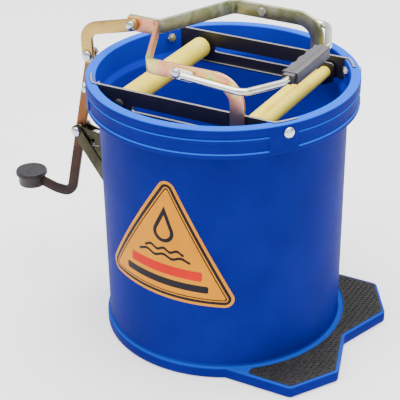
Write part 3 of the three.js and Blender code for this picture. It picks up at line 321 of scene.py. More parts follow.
def dust_and_sheen_on_top(material, dark, light, patch_mm):
    """A paler, speckled colour on the faces that look up, used for dust and for a painted sheen."""
    tree = material.node_tree
    shader = tree.nodes["Principled BSDF"]
    sides = shader.inputs["Base Color"].links[0].from_socket
    dust_and_sheen = ramp(tree, noise(tree, add(tree, "TexCoord").outputs["Object"], patch_mm, 5, 0.75),
                (0.4, dark), (0.65, light))
    paint(tree, shader, mixed(tree, between(tree, facing_up(tree), 0.5, 0.8), sides, dust_and_sheen))


# Paler tops: the pedal's is speckled, the tread's is dust, and the grip's is a painted sheen.
dust_and_sheen_on_top(pedal_rubber, "#202022", "#3C3C3E", 1.4)
dust_and_sheen_on_top(charcoal_abs, "#524E52", "#625E62", 2.0)
dust_and_sheen_on_top(tread_rubber, "#0A090A", "#32302E", 3.2)
print("plastics", cream_nylon.name, charcoal_abs.name, tread_rubber.name, pedal_rubber.name)

# %% [markdown]
# ## Printed film
# The label is vinyl film with screen-printed ink. Each ink is its own thin layer, as in the real print, so
# the film and each colour get the same smooth vinyl with a slightly uneven coat.

# %% Label inks
def printed_vinyl(name, dark, light):
    return satin_plastic(name, dark, light, 40, 0.45, 6, 0.08, IOR=1.53, Specular_IOR_Level=0.08)


amber_vinyl = printed_vinyl("amber_vinyl", "#C87C00", "#D08800")
black_ink = printed_vinyl("black_ink", "#14121A", "#1E1B22")
red_ink = printed_vinyl("red_ink", "#B80C04", "#C8180C")
print("inks", amber_vinyl.name, black_ink.name, red_ink.name)

# %% [markdown]
# ## Turning drawings into pieces
# Sheet-metal and moulded parts come from a few moves: turn a profile round an axis, sweep a section along a
# bent line, or press a plate out of an outline. These helpers work in millimetres and hand back a mesh in
# metres, so every later cell can use the sizes that a maker would write on the drawing.

# %% Making and placing meshes
def piece(name, mesh, material, body, slot, *nodes, crease=35):
    mesh.name = name
    mesh.materials.clear()
    mesh.materials.append(material)
    mesh.shade_smooth()
    mesh.set_sharp_from_angle(angle=math.radians(crease))
    made = bpy.data.objects.new(name, mesh)
    bpy.context.collection.objects.link(made)
    if body:
        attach(made, body)
    if nodes:
        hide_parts(*nodes)
    return made


def cleaned(mesh, weld):
    """The same mesh with its doubled points welded and its faces turned outwards."""
    work = bmesh.new()
    work.from_mesh(mesh)
    bmesh.ops.remove_doubles(work, verts=work.verts, dist=weld)
    bmesh.ops.recalc_face_normals(work, faces=work.faces)
    work.to_mesh(mesh)
    work.free()
    return mesh


def mesh_of(points, faces):
    mesh = bpy.data.meshes.new("mesh")
    mesh.from_pydata([tuple(Vector(p) * MM) for p in points], [], faces)
    return cleaned(mesh, 1e-6)


def merged(*meshes):
    work = bmesh.new()
    for mesh in meshes:
        work.from_mesh(mesh)
        bpy.data.meshes.remove(mesh)
    joined = bpy.data.meshes.new("mesh")
    work.to_mesh(joined)
    work.free()
    return joined


def boolean(base, tools, operation):
    shown = bpy.data.objects.new("base", base)
    bpy.context.collection.objects.link(shown)
    helpers = []
    for tool in tools:
        helper = bpy.data.objects.new("tool", tool)
        bpy.context.collection.objects.link(helper)
        modifier = shown.modifiers.new("cut", "BOOLEAN")
        modifier.operation, modifier.solver, modifier.object = operation, "EXACT", helper
        helpers.append(helper)
    bpy.context.view_layer.update()
    result = bpy.data.meshes.new_from_object(shown.evaluated_get(bpy.context.evaluated_depsgraph_get()))
    for gone in [shown, *helpers]:
        data = gone.data
        bpy.data.objects.remove(gone)
        bpy.data.meshes.remove(data)
    return result


print("mesh helpers ready")


# %% Lines, turned shapes and swept bars
def bent_line(corners, steps=10):
    """A line through corners (x, y, z, bend radius), where a corner with no radius stays sharp."""
    line = []
    for i, corner in enumerate(corners):
        here, bend = Vector(corner[:3]), (corner[3] if len(corner) > 3 else 0)
        if not bend or i in (0, len(corners) - 1):
            line.append(here)
            continue
        before = (Vector(corners[i - 1][:3]) - here).normalized()
        after = (Vector(corners[i + 1][:3]) - here).normalized()
        half = before.angle(after) / 2
        centre = here + (before + after).normalized() * bend / math.sin(half)
        start = here + before * bend / math.tan(half) - centre
        end = here + after * bend / math.tan(half) - centre
        line += [centre + start.slerp(end, k / steps).normalized() * bend for k in range(steps + 1)]
    return line


def turned(profile, centre=(0, 0, 0), along="Y", steps=64):
    """A closed profile of (radius, distance along the axis) turned about an axis through centre."""
    assert profile[0] == profile[-1] or profile[0][0] == profile[-1][0] == 0, "the profile isn't closed"
    points, faces, count = [], [], len(profile)
    for k in range(steps):
        a = 2 * math.pi * k / steps
        for radius, along_axis in profile:
            u, v = radius * math.cos(a), radius * math.sin(a)
            local = {"Y": (u, along_axis, v), "Z": (u, v, along_axis), "X": (along_axis, u, v)}[along]
            points.append(Vector(centre) + Vector(local))
    for k in range(steps):
        for i in range(count - 1):
            a, b = k * count + i, (k + 1) % steps * count + i
            faces.append((a, a + 1, b + 1, b))
    faces = [face for face in faces if len({tuple(round(c, 5) for c in points[i]) for i in face}) > 2]
    return mesh_of(points, faces)


def disc(radius, low, high, steps):
    """A plain upright cylinder on the bucket's axis, to cut with."""
    return turned([(0, low), (radius, low), (radius, high), (0, high)], along="Z", steps=steps)


def bar_section(thickness, width, corner, steps=3):
    """A rounded rectangle, as (across, up) offsets."""
    x, y = thickness / 2 - corner, width / 2 - corner
    section = []
    for quarter, (sx, sy) in enumerate(((1, 1), (-1, 1), (-1, -1), (1, -1))):
        for k in range(steps + 1):
            a = math.pi / 2 * (quarter + k / steps)
            section.append((sx * x + corner * math.cos(a), sy * y + corner * math.sin(a)))
    return section


def round_section(radius, steps):
    return [(radius * math.cos(2 * math.pi * k / steps), radius * math.sin(2 * math.pi * k / steps))
            for k in range(steps)]


END_ANGLES = (12, 26, 40, 54, 66, 76, 84)


def swept(line, section, rounded=(False, False), across=None):
    """A section carried along a line. Its first direction stays level, or is given as across."""
    line = [p.copy() for i, p in enumerate(line) if i == 0 or (p - line[i - 1]).length > 1e-4]
    scales = [1.0] * len(line)
    half = max(b for a, b in section)
    for at_end in (0, 1):
        if not rounded[at_end]:
            continue
        tip, inward = (line[-1], line[-2]) if at_end else (line[0], line[1])
        way = (tip - inward).normalized()
        extra = [tip + way * half * math.sin(math.radians(a)) for a in END_ANGLES]
        shrink = [math.cos(math.radians(a)) for a in END_ANGLES]
        if at_end:
            line, scales = line + extra, scales + shrink
        else:
            line, scales = extra[::-1] + line, shrink[::-1] + scales
    points, last = [], None
    for i, point in enumerate(line):
        tangent = (line[min(i + 1, len(line) - 1)] - line[max(i - 1, 0)]).normalized()
        side = Vector(across) if across else Vector((0, 0, 1)).cross(tangent)
        side = side if side.length > 0.02 or last is None else last
        side = (side - tangent * side.dot(tangent)).normalized()
        if last and side.dot(last) < 0 and not across:
            side = -side
        last = side
        up = tangent.cross(side)
        points += [point + side * a + up * b * scales[i] for a, b in section]
    count, rings = len(section), len(line)
    faces = [(r + i, r + (i + 1) % count, r + count + (i + 1) % count, r + count + i)
             for r in range(0, (rings - 1) * count, count) for i in range(count)]
    faces += [tuple(range(count))[::-1], tuple(range((rings - 1) * count, rings * count))]
    return mesh_of(points, faces)


def flat_bar(corners, y, thickness, width, corner, rounded=(True, True)):
    """A bar that lies in the plane at y and is bent on edge, through corners (x, z, bend radius)."""
    line = bent_line([(x, y, *rest) for x, *rest in corners], 12)
    return swept(line, bar_section(thickness, width, corner), rounded, across=(0, 1, 0))


def pressed(outlines, thickness, edge, plane="XZ", offset=0.0):
    """A plate with rounded edges: the first outline is its edge and any others are its holes."""
    curve = bpy.data.curves.new("outline", "CURVE")
    curve.dimensions, curve.fill_mode = "2D", "BOTH"
    curve.extrude, curve.bevel_depth, curve.offset = (thickness / 2 - edge) * MM, edge * MM, -edge * MM
    curve.bevel_resolution = 2
    for outline in outlines:
        spline = curve.splines.new("POLY")
        spline.points.add(len(outline) - 1)
        for point, (x, y) in zip(spline.points, outline):
            point.co = (x * MM, y * MM, 0, 1)
        spline.use_cyclic_u = True
    holder = bpy.data.objects.new("outline", curve)
    mesh = bpy.data.meshes.new_from_object(holder)
    bpy.data.objects.remove(holder)
    bpy.data.curves.remove(curve)
    if plane == "XZ":
        mesh.transform(Matrix.Translation((0, offset * MM, 0)) @ Matrix.Rotation(math.pi / 2, 4, "X"))
    else:
        mesh.transform(Matrix.Translation((0, 0, offset * MM)))
    return cleaned(mesh, 2e-6)


def facing_wall(outlines, thickness, x, edge=0.4):
    """A plate that stands across the X axis, with its middle at x."""
    plate = pressed(outlines, thickness, edge)
    plate.transform(Matrix.Translation((x * MM, 0, 0)) @ Matrix.Rotation(math.pi / 2, 4, "Z"))
    return plate


def flat_outline(corners, steps=8):
    """A closed outline whose corners (x, y, radius) are rounded."""
    ring = [corners[-1], *corners, corners[0]]
    line = bent_line([(x, y, 0, bend) for x, y, bend in ring], steps)
    return [(p.x, p.y) for p in line[1:-1]]


def box_outline(x0, x1, y0, y1, corner=2.5):
    return flat_outline([(x0, y0, corner), (x1, y0, corner), (x1, y1, corner), (x0, y1, corner)])


print("shape helpers ready")

# %% [markdown]
# ## The bucket
# The bucket is one moulding: a slightly tapered wall, a rim turned over into a hollow ribbed collar, a base
# ring, and a foot plate moulded on at one side. It is drawn as one turned profile with filleted corners.
# Where the rim bolts go, the grooves between the ribs are filled in, so the radius depends on the angle too.

# %% Bucket profile
WALL_RADIUS, FOOT_OF_WALL, RING_RADIUS, WALL_THICK = 141.7, 139.1, 142.5, 3
RING_TOP, BASE_THICK = 13.6, 4.5
RIM_RADIUS, RIM_INSIDE, RIM_HEIGHT, COLLAR_FOOT = 155.0, 143.0, 320.0, 286.0
CHANNEL_IN, CHANNEL_OUT = 146.0, 151.5
GROOVE_RADIUS = 153.4
BOLT_ANGLE, BOSS_SPAN = 35.74, (31.0, 43.7)


def filleted(corners, steps=5):
    """A profile of (radius, height, fillet)."""
    line = bent_line([(r, h, 0, *rest) for r, h, *rest in corners], steps)
    return [(p.x, p.y) for p in line]


outer = filleted([
    (0, 0), (RING_RADIUS, 0, 2.2), (RING_RADIUS, RING_TOP, 2.4), (FOOT_OF_WALL + 0.9, 13.9, 0.8),
    (FOOT_OF_WALL, 17, 3), (WALL_RADIUS, 282.5, 6), (CHANNEL_IN, 288.5, 3), (CHANNEL_IN, 315, 1),
    (CHANNEL_OUT, 315, 1), (CHANNEL_OUT, COLLAR_FOOT, 0.8), (RIM_RADIUS, COLLAR_FOOT, 1.2),
    (RIM_RADIUS, 290.6, 0.9), (GROOVE_RADIUS, 291.8, 0.7), (GROOVE_RADIUS, 303.0, 0.7),
    (RIM_RADIUS, 304.2, 0.9), (RIM_RADIUS, 307.0, 0.9), (GROOVE_RADIUS, 308.0, 0.5),
    (GROOVE_RADIUS, 309.2, 0.5), (RIM_RADIUS, 310.4, 0.8), (RIM_RADIUS, RIM_HEIGHT, 2.4),
    (RIM_INSIDE, RIM_HEIGHT, 2.2), (RIM_INSIDE, 291, 4), (WALL_RADIUS - WALL_THICK, 284, 6),
    (FOOT_OF_WALL - WALL_THICK, BASE_THICK, 7), (0, BASE_THICK),
])
fine = [k * 1.5 for k in range(240)]
boss_edges = [turn + side * edge + way for turn in (0, 180) for side in (-1, 1)
              for edge in BOSS_SPAN for way in (-0.35, 0.35)]
angles = sorted({round(a % 360, 3) for a in fine + boss_edges})


def on_boss(angle):
    fold = min(abs((angle - turn + 180) % 360 - 180) for turn in (0, 180))
    return BOSS_SPAN[0] - 0.1 < fold < BOSS_SPAN[1] + 0.1


points, faces, count = [], [], len(outer)
for angle in angles:
    for radius, height in outer:
        ribbed = RIM_RADIUS - 2.2 < radius < RIM_RADIUS and COLLAR_FOOT + 3 < height < RIM_HEIGHT - 3
        r = RIM_RADIUS if ribbed and on_boss(angle) else radius
        points.append((r * math.cos(math.radians(angle)), r * math.sin(math.radians(angle)), height))
for k in range(len(angles)):
    for i in range(count - 1):
        a, b = k * count + i, (k + 1) % len(angles) * count + i
        face = (a, a + 1, b + 1, b)
        if outer[i][0] == 0:
            face = (a, a + 1, b + 1)
        elif outer[i + 1][0] == 0:
            face = (a, a + 1, b)
        faces.append(face)
shell = mesh_of(points, faces)
print("bucket profile", count, "points,", len(angles), "angles")

# %% [markdown]
# The foot plate stands on the floor beside the ring, and the bracket bolts on to two thick seats. Both are
# joined to the turned shell with a boolean, as they are one moulding, and the rails' slots are cut from it.

# %% Foot plate, seats and rail slots
RAIL_Y, RAIL_THICK, RAIL_TOP, RAIL_BAND_FOOT = 96.1, 3.0, 321.2, 294.2
TAB_RADIUS, TAB_BEND = 148.0, 2.6
TAB_START, TAB_END = 39.34, 30.54
FOOT_HALF, FOOT_TIP_Y = 125, 70
SHOULDER_OUT, TIP_OUT, NOTCH_OUT = 7.5, 41.5, 18.5
CAVITY_RADIUS = 132
SEAT_HALF, SEAT_THICK, SEAT_X = 27, 12, -141.0


def foot_outline(inset=0.0, start=62.0):
    side = FOOT_HALF - inset
    half = [(start, -side, inset), (RING_RADIUS + SHOULDER_OUT - inset / 3, -side, 7),
            (RING_RADIUS + TIP_OUT - inset, -FOOT_TIP_Y, 8), (RING_RADIUS + NOTCH_OUT - inset, 0, 14)]
    return flat_outline(half + [(x, -y, bend) for x, y, bend in half[:3][::-1]])


def rail_line(way, extra=0.0, steps=10):
    end = TAB_END - extra
    arc = [math.radians(end + (TAB_START - end) * k / steps) for k in range(steps + 1)]
    tab = [(TAB_RADIUS * math.cos(a), way * TAB_RADIUS * math.sin(a)) for a in arc]
    bend = [(TAB_RADIUS * math.cos(arc[-1]) - TAB_BEND, way * RAIL_Y)]
    half = [Vector((x, y, (RAIL_TOP + RAIL_BAND_FOOT) / 2)) for x, y in tab + bend]
    return half + [Vector((-p.x, p.y, p.z)) for p in half[::-1]]


plate = pressed([foot_outline()], RING_TOP, 1.6, "XY", RING_TOP / 2)
cavity = disc(CAVITY_RADIUS, 1, 40, 120)
seats = [facing_wall([box_outline(-SEAT_HALF, SEAT_HALF, low, high)], SEAT_THICK, SEAT_X, 1.2)
         for low, high in ((176, 210), (116, 154))]
slots = [swept(rail_line(way, 0.2), bar_section(RAIL_THICK + 0.8, 28.2, 0.2, 1)) for way in (-1, 1)]
body = boolean(shell, [boolean(plate, [cavity], "DIFFERENCE"), *seats], "UNION")
body = boolean(body, slots, "DIFFERENCE")
piece("moulded_bucket", body, moulded_pp, "bucket_body", "blue_plastic", "bucket", crease=28)
print("bucket faces", len(body.polygons))

# %% [markdown]
# ## The tread
# A black rubber sheet is let into the foot plate, with low round studs about 3 mm across in staggered rows.
# The studs are real domes, since they catch the light one by one and break up the outline of the sheet.

# %% Tread with studs
TREAD_INSET, TREAD_TOP, TREAD_THICK, TREAD_INNER = 3.5, 14.5, 2.2, 146
STUD_RADIUS, STUD_HEIGHT, STUD_INNER = 1.7, 1.1, 148.8
STUD_PITCH, COLUMN_START, COLUMN_PITCH = 5.2, 95, 5.94880


def is_inside(outline, x, y):
    hit = False
    for (x0, y0), (x1, y1) in zip(outline, outline[1:] + outline[:1]):
        if (y0 > y) != (y1 > y) and x < (x1 - x0) * (y - y0) / (y1 - y0) + x0:
            hit = not hit
    return hit


sheet_outline = foot_outline(TREAD_INSET, 95)
sheet = pressed([sheet_outline], TREAD_THICK, 0.5, "XY", TREAD_TOP - TREAD_THICK / 2)
sheet = boolean(sheet, [disc(TREAD_INNER, 0, 30, 180)], "DIFFERENCE")
stud_edge = foot_outline(TREAD_INSET + 2.6, 98)
points, faces = [], []
for row in range(-24, 25):
    for column in range(15):
        x = COLUMN_START + column * COLUMN_PITCH
        y = row * STUD_PITCH + (column % 2) * STUD_PITCH / 2
        if math.hypot(x, y) < STUD_INNER or not is_inside(stud_edge, x, y):
            continue
        base = len(points)
        for share, lift in ((1, -0.3), (0.92, 0.45), (0.6, 0.88)):
            points += [(x + STUD_RADIUS * share * math.cos(a * math.pi / 4),
                        y + STUD_RADIUS * share * math.sin(a * math.pi / 4),
                        TREAD_TOP + STUD_HEIGHT * lift) for a in range(8)]
        points.append((x, y, TREAD_TOP + STUD_HEIGHT))
        for ring in (0, 8):
            faces += [(base + ring + a, base + ring + (a + 1) % 8, base + ring + 8 + (a + 1) % 8,
                       base + ring + 8 + a) for a in range(8)]
        faces += [(base + 16 + a, base + 16 + (a + 1) % 8, base + 24) for a in range(8)]
        faces.append(tuple(base + a for a in range(7, -1, -1)))
tread = merged(sheet, mesh_of(points, faces))
piece("studded_tread", tread, tread_rubber, "bucket_body", "black_rubber", "foot_plate_tread", crease=40)
print("tread studs", len(points) // 25)

# %% [markdown]
# ## The label
# A rounded triangle of amber vinyl is stuck on the wall, printed with a double black border and a plain sign:
# a drop over two ripples, and a red and a black bar. Each ink is a thin sheet drawn flat in millimetres, cut
# into narrow columns, and then rolled on to the tapered wall, so it stays crisp at any distance.

# %% Label helpers
LABEL_ANGLE, LABEL_TILT, LABEL_FOOT, LABEL_SIDE, LABEL_CORNER = -91.2, -3.6, 99.0, 184.0, 11.0
COLUMN = 5.0
label_turn = Matrix.Rotation(math.radians(LABEL_TILT), 2)


def wall_radius(height):
    return FOOT_OF_WALL + (WALL_RADIUS - FOOT_OF_WALL) * (height - RING_TOP) / (COLLAR_FOOT - RING_TOP)


def on_wall(outlines, lift, thickness=0.22):
    flat = pressed(outlines, thickness, thickness / 4, "XY")
    work = bmesh.new()
    work.from_mesh(flat)
    bpy.data.meshes.remove(flat)
    for k in range(-20, 21):
        bmesh.ops.bisect_plane(work, geom=work.verts[:] + work.edges[:] + work.faces[:],
                               plane_co=(k * COLUMN * MM, 0, 0), plane_no=(1, 0, 0))
    for vert in work.verts:
        u, v = label_turn @ Vector((vert.co.x / MM, vert.co.y / MM))
        height = v + LABEL_FOOT
        radius = wall_radius(height) + lift + vert.co.z / MM
        angle = math.radians(LABEL_ANGLE) + u / WALL_RADIUS
        vert.co = Vector((radius * math.cos(angle), radius * math.sin(angle), height)) * MM
    rolled = bpy.data.meshes.new("label")
    work.to_mesh(rolled)
    work.free()
    return rolled


def label_triangle(inset):
    middle = LABEL_SIDE / (2 * math.sqrt(3))
    share = (middle - inset) / middle
    corner = max(LABEL_CORNER - inset, 2.0)
    tips = [(-LABEL_SIDE / 2, 0), (LABEL_SIDE / 2, 0), (0, LABEL_SIDE * math.sqrt(3) / 2)]
    return flat_outline([(x * share, middle + (y - middle) * share, corner) for x, y in tips], 10)


def drop(x, y, radius, tail):
    turn = math.acos(radius / tail)
    arc = [math.pi / 2 + turn + (2 * math.pi - 2 * turn) * k / 28 for k in range(29)]
    return [(x + radius * math.cos(a), y + radius * math.sin(a)) for a in arc] + [(x, y + tail)]


def ripple(x, y, half_width, wave, thick):
    steps = [(-half_width + 2 * half_width * k / 40) for k in range(41)]
    upper = [(x + s, y + wave * math.cos(s / half_width * 3 * math.pi) + thick / 2) for s in steps]
    return upper + [(px, py - thick) for px, py in upper[::-1]]


def bar(x, y, width, height):
    return box_outline(x - width / 2, x + width / 2, y - height / 2, y + height / 2)


print("label helpers ready")

# %% Label
piece("label_film", on_wall([label_triangle(0)], 0.3, 0.3), amber_vinyl, "bucket_body", "label_film",
      "caution_label", crease=60)
inks = {
    "border": (black_ink, [label_triangle(3.4), label_triangle(6.9)]),
    "border_inner": (black_ink, [label_triangle(8.3), label_triangle(9.7)]),
    "drop": (black_ink, [drop(-2, 84, 13, 33), drop(-2, 84, 8.5, 21.5)]),
    "ripple_upper": (black_ink, [ripple(-1, 62, 25, 1.8, 3.4)]),
    "ripple_lower": (black_ink, [ripple(-1, 54, 33, 1.8, 3.4)]),
    "bar_red": (red_ink, [bar(0, 37, 92, 12)]),
    "bar_black": (black_ink, [bar(0, 21, 108, 9)]),
}
for name, (ink, outlines) in inks.items():
    piece(f"label_{name}", on_wall(outlines, 0.46, 0.1), ink, "bucket_body", "label_film", crease=60)
print("label pieces", 1 + len(inks))

# %% [markdown]
# ## Side rails
# Each rail is a pressed steel plate with a long guide slot for the press axle. Its upper band runs out to the
# rim and bends round inside the collar, where the rim bolts hold it, and its lower edge is turned inwards.

# %% Side rails
FIXED_ROLLER, PRESS_INNER, PRESS_OUTER = (-77.0, 302.5), (70.6, 300.0), (85.9, 302.0)
RAIL_LEFT, RAIL_RIGHT, RAIL_REACH, RAIL_FOOT, RAIL_CORNER = -92, 90, 109, 282, 11
SLOT_LEFT, SLOT_RIGHT, SLOT_RADIUS = -59, 74, 3.2
LIP_THICK, LIP_Z = 2, 283.05


def slot_outline(x0, x1, z, radius, steps=10):
    right_end = [math.pi * (k / steps - 0.5) for k in range(steps + 1)]
    ends = [(x1 + radius * math.cos(a), z + radius * math.sin(a)) for a in right_end]
    return ends + [(x0 - radius * math.cos(a), z - radius * math.sin(a)) for a in right_end]


for side, way in (("near", -1), ("far", 1)):
    face = flat_outline([(RAIL_LEFT, RAIL_FOOT, RAIL_CORNER), (RAIL_RIGHT, RAIL_FOOT, RAIL_CORNER),
                         (RAIL_RIGHT, RAIL_BAND_FOOT, 0.8), (RAIL_REACH, RAIL_BAND_FOOT, 0.8),
                         (RAIL_REACH, RAIL_TOP, 0.8), (-RAIL_REACH, RAIL_TOP, 0.8),
                         (-RAIL_REACH, RAIL_BAND_FOOT, 0.8), (RAIL_LEFT, RAIL_BAND_FOOT, 0.8)])
    guide = slot_outline(SLOT_LEFT, SLOT_RIGHT, PRESS_INNER[1], SLOT_RADIUS)
    plate = pressed([face, guide], RAIL_THICK, 0.45, "XZ", way * RAIL_Y)
    tabs = []
    for end in (-1, 1):
        line = [p for p in rail_line(way) if p.x * end > 0]
        near_end = Vector((end * 103, way * RAIL_Y, line[0].z))
        line = [near_end, *(line if end < 0 else line[::-1])]
        tabs.append(swept(line, bar_section(RAIL_THICK - 0.02, RAIL_TOP - RAIL_BAND_FOOT - 0.02, 0.45)))
    lip = pressed([box_outline(RAIL_LEFT + RAIL_CORNER, RAIL_RIGHT - RAIL_CORNER, 92.5, 97.4, 1)],
                  LIP_THICK, 0.4, "XY", LIP_Z)
    if way < 0:
        lip.transform(Matrix.Scale(-1, 4, (0, 1, 0)))
        lip.flip_normals()
    rail = boolean(plate, [*tabs, lip], "UNION")
    piece(f"rail_{side}", rail, black_enamel, "bucket_body", "black_paint", f"side_rail_{side}", crease=30)
    print("rail", side, len(rail.polygons), "faces")

# %% [markdown]
# ## Rollers
# Three nylon tubes turn on steel axles. They get a chamfer at each end, a bore, and the faint turned grooves
# that a lathe leaves every few millimetres, so their highlights are not perfectly straight.

# %% Rollers
ROLLER_HALF, ROLLER_END = 89.4, 1.6
GROOVES, GROOVE_DEPTH = 44, 0.09


def roller(centre, radius, bore, half=ROLLER_HALF):
    skin = []
    for k in range(GROOVES + 1):
        y = -half + ROLLER_END + 2 * (half - ROLLER_END) * k / GROOVES
        skin.append((radius - (GROOVE_DEPTH if k % 2 else 0), y))
    profile = [(bore, -half), (radius - 1.5, -half), (radius - 0.5, -half + 0.5), *skin,
               (radius - 0.5, half - 0.5), (radius - 1.5, half), (bore, half), (bore, -half)]
    return turned(profile, (centre[0], 0, centre[1]), steps=72)


for name, node, centre, radius, bore in (("roller_fixed", "fixed_roller", FIXED_ROLLER, 12.5, 4.2),
                                         ("roller_press_inner", "press_roller_inner", PRESS_INNER, 7.2, 3.2),
                                         ("roller_press_outer", "press_roller_outer", PRESS_OUTER, 7.2, 3.2)):
    piece(name, roller(centre, radius, bore), cream_nylon, node, "cream_plastic", node, crease=40)
print("rollers done")

# %% [markdown]
# ## The yoke and its pull arm
# Two straps of flat bar, 17 by 4 mm, start side by side at the yoke bolt, spread out to the rails, run along
# them, and turn down to the press axle. A bar bent on the flat and then on edge is one sweep of its section.
# A small plate at each side holds both press rollers, and a heavier arm joins the yoke to the lever.

# %% Yoke, end plates and pull arm
YOKE_Z, YOKE_BOLT_X, STRAP_Y, STRAP_THICK, STRAP_WIDTH = 357.2, -114.0, 100.4, 4.0, 17.0
PAIRED_Y, STRAP_TAIL, SPREAD_START, SPREAD_END, BEND, SHOULDER = 2.3, 7.5, 31, 76, 11, 25
LINK, PIVOT = (-176.0, 308.5), (-197.5, 205.5)
ARM_Y, ARM_THICK, ARM_WIDTH = -7.1, 5, 15
for side, way, strap_finish in (("near", -1, yellow_zinc), ("far", 1, green_zinc)):
    line = bent_line([
        (YOKE_BOLT_X - STRAP_TAIL, way * PAIRED_Y, YOKE_Z),
        (YOKE_BOLT_X + SPREAD_START, way * PAIRED_Y, YOKE_Z, BEND),
        (YOKE_BOLT_X + SPREAD_END, way * STRAP_Y, YOKE_Z, BEND),
        (PRESS_INNER[0], way * STRAP_Y, YOKE_Z, SHOULDER),
        (PRESS_INNER[0], way * STRAP_Y, PRESS_INNER[1])], 12)
    strap = swept(line, bar_section(STRAP_THICK, STRAP_WIDTH, 0.7), (False, True))
    piece(f"yoke_{side}", strap, strap_finish, "carriage", "yellow_zinc", f"yoke_strap_{side}")
    plate = pressed([box_outline(60.1, 96.4, 288.5, 313.5, 6)], 2, 0.4, "XZ", way * 91)
    piece(f"roller_plate_{side}", plate, black_enamel, "carriage", "black_paint", f"end_plate_{side}")
arm_corners = [(LINK[0], LINK[1] - 2), (LINK[0] - 1, LINK[1] + 33, 17), (YOKE_BOLT_X, YOKE_Z)]
arm = flat_bar(arm_corners, ARM_Y, ARM_THICK, ARM_WIDTH, 0.8)
piece("arm", arm, straw_zinc, "carriage", "yellow_zinc", "pull_arm")
print("yoke and arm done")

# %% [markdown]
# ## Lever and pedal
# The lever is one bar that drops from the link pin through its pivot, bends out, and carries a rubber pad.
# The pad is turned, with ridges moulded in its top so that a wet shoe doesn't slide off.

# %% Lever and pedal
LEVER_THICK, LEVER_WIDTH = 5.5, 12.3
lever_corners = [LINK, (-217, 112, 15), (-240.5, 112.5, 30), (-277.5, 121.5)]
lever_bar = flat_bar(lever_corners, 0, LEVER_THICK, LEVER_WIDTH, 1.0)
piece("lever_bar", lever_bar, worn_brown_zinc, "lever", "brown_zinc", "lever")
PEDAL_X, PEDAL_TOP, RIDGE_HEIGHT, RIDGE_PITCH = -278, 129.3, 0.45, 1.7
ridges = [(1.5 + RIDGE_PITCH * k, PEDAL_TOP + (RIDGE_HEIGHT if k % 2 else 0)) for k in range(8)]
pad_rim = [(20, 124.6), (20, 127.6), (19.2, PEDAL_TOP), (17.6, 130), (16.2, 130), (15.2, PEDAL_TOP)]
pad = [(0, 110), (15.4, 110), (16.6, 110.5), (17, 111.8), (17, 123.2), (17.4, 124), (19.4, 124.1),
       *pad_rim, *ridges[::-1], (0, PEDAL_TOP)]
piece("pedal", turned(pad, (PEDAL_X, 0, 0), along="Z", steps=96), pedal_rubber, "lever", "black_rubber",
      "pedal_pad", crease=30)
print("lever done")

# %% [markdown]
# ## Bracket, stays and return spring
# A cheek each side of the lever carries the pivot bolt, and two stays brace it from lower on the wall. The
# torsion spring is close turns of 2 mm wire on a pin: one leg rests on the wall's side, the other on the
# lever. The spring rides on neither body.

# %% Bracket and stays
BRACKET_X, BRACKET_THICK, BRACKET_HALF, BAR_FOOT_X = -148.8, 3, 25, -149
CHEEK_Y, CHEEK_THICK, CHEEK_WIDTH = 6.15, 2.5, 14
STAY_Y, STAY_THICK, STAY_WIDTH, STAY_FOOT_Y = 9.2, 3, 15, 7.9
ROUND_AT_PIVOT = (True, False)
web = facing_wall([box_outline(-BRACKET_HALF, BRACKET_HALF, 178, 208)], BRACKET_THICK, BRACKET_X)
cheeks = [flat_bar([PIVOT, (BAR_FOOT_X, 193.2)], way * CHEEK_Y, CHEEK_THICK, CHEEK_WIDTH, 0.4, ROUND_AT_PIVOT)
          for way in (-1, 1)]
piece("bracket", boolean(web, cheeks, "UNION"), olive_zinc, "bucket_body", "yellow_zinc", "pivot_bracket")
for side, way in (("near", -1), ("far", 1)):
    foot_sides = sorted((way * STAY_FOOT_Y, way * BRACKET_HALF))
    foot = facing_wall([box_outline(*foot_sides, 118, 152)], BRACKET_THICK, BRACKET_X)
    brace = flat_bar([PIVOT, (BAR_FOOT_X, 139.8)], way * STAY_Y, STAY_THICK, STAY_WIDTH, 0.5, ROUND_AT_PIVOT)
    piece(f"brace_{side}", boolean(foot, [brace], "UNION"), olive_zinc, "bucket_body", "yellow_zinc",
          f"stay_{side}")
print("bracket and stays done")

# %% Return spring
SPRING_X, SPRING_Z, COIL_RADIUS, WIRE, SPRING_HALF = -175.5, 197.0, 9.5, 2.0, 3.2
TURNS, TURN_STEPS, OPENED_STEPS, COIL_START = 3.5, 24, 10, -math.pi / 2 - 0.35
coil = [Vector((-194.6, -2.6, 180.5)), Vector((-186, -3.0, 184.0))]
for k in range(int(TURNS * TURN_STEPS) + 1 - OPENED_STEPS):
    a = COIL_START - 2 * math.pi * k / TURN_STEPS
    along_pin = -SPRING_HALF + 2 * SPRING_HALF * k / (TURNS * TURN_STEPS)
    across, up = COIL_RADIUS * math.cos(a), COIL_RADIUS * math.sin(a)
    coil.append(Vector((SPRING_X + across, along_pin, SPRING_Z + up)))
coil.append(Vector((-150.9, SPRING_HALF, 187.5)))
wire = swept(coil, round_section(WIRE / 2, 12))
spring = piece("torsion_spring", wire, bright_zinc, None, "bright_zinc", "return_spring")
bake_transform(spring)
print("spring", len(coil), "points")

# %% [markdown]
# ## Carry handle
# The handle is a bright plated 8 mm rod, flattened where the rivets go through. Its moulded grip has shallow
# hollows for four fingers on one side, a rib along the top, and ends that are stepped down.

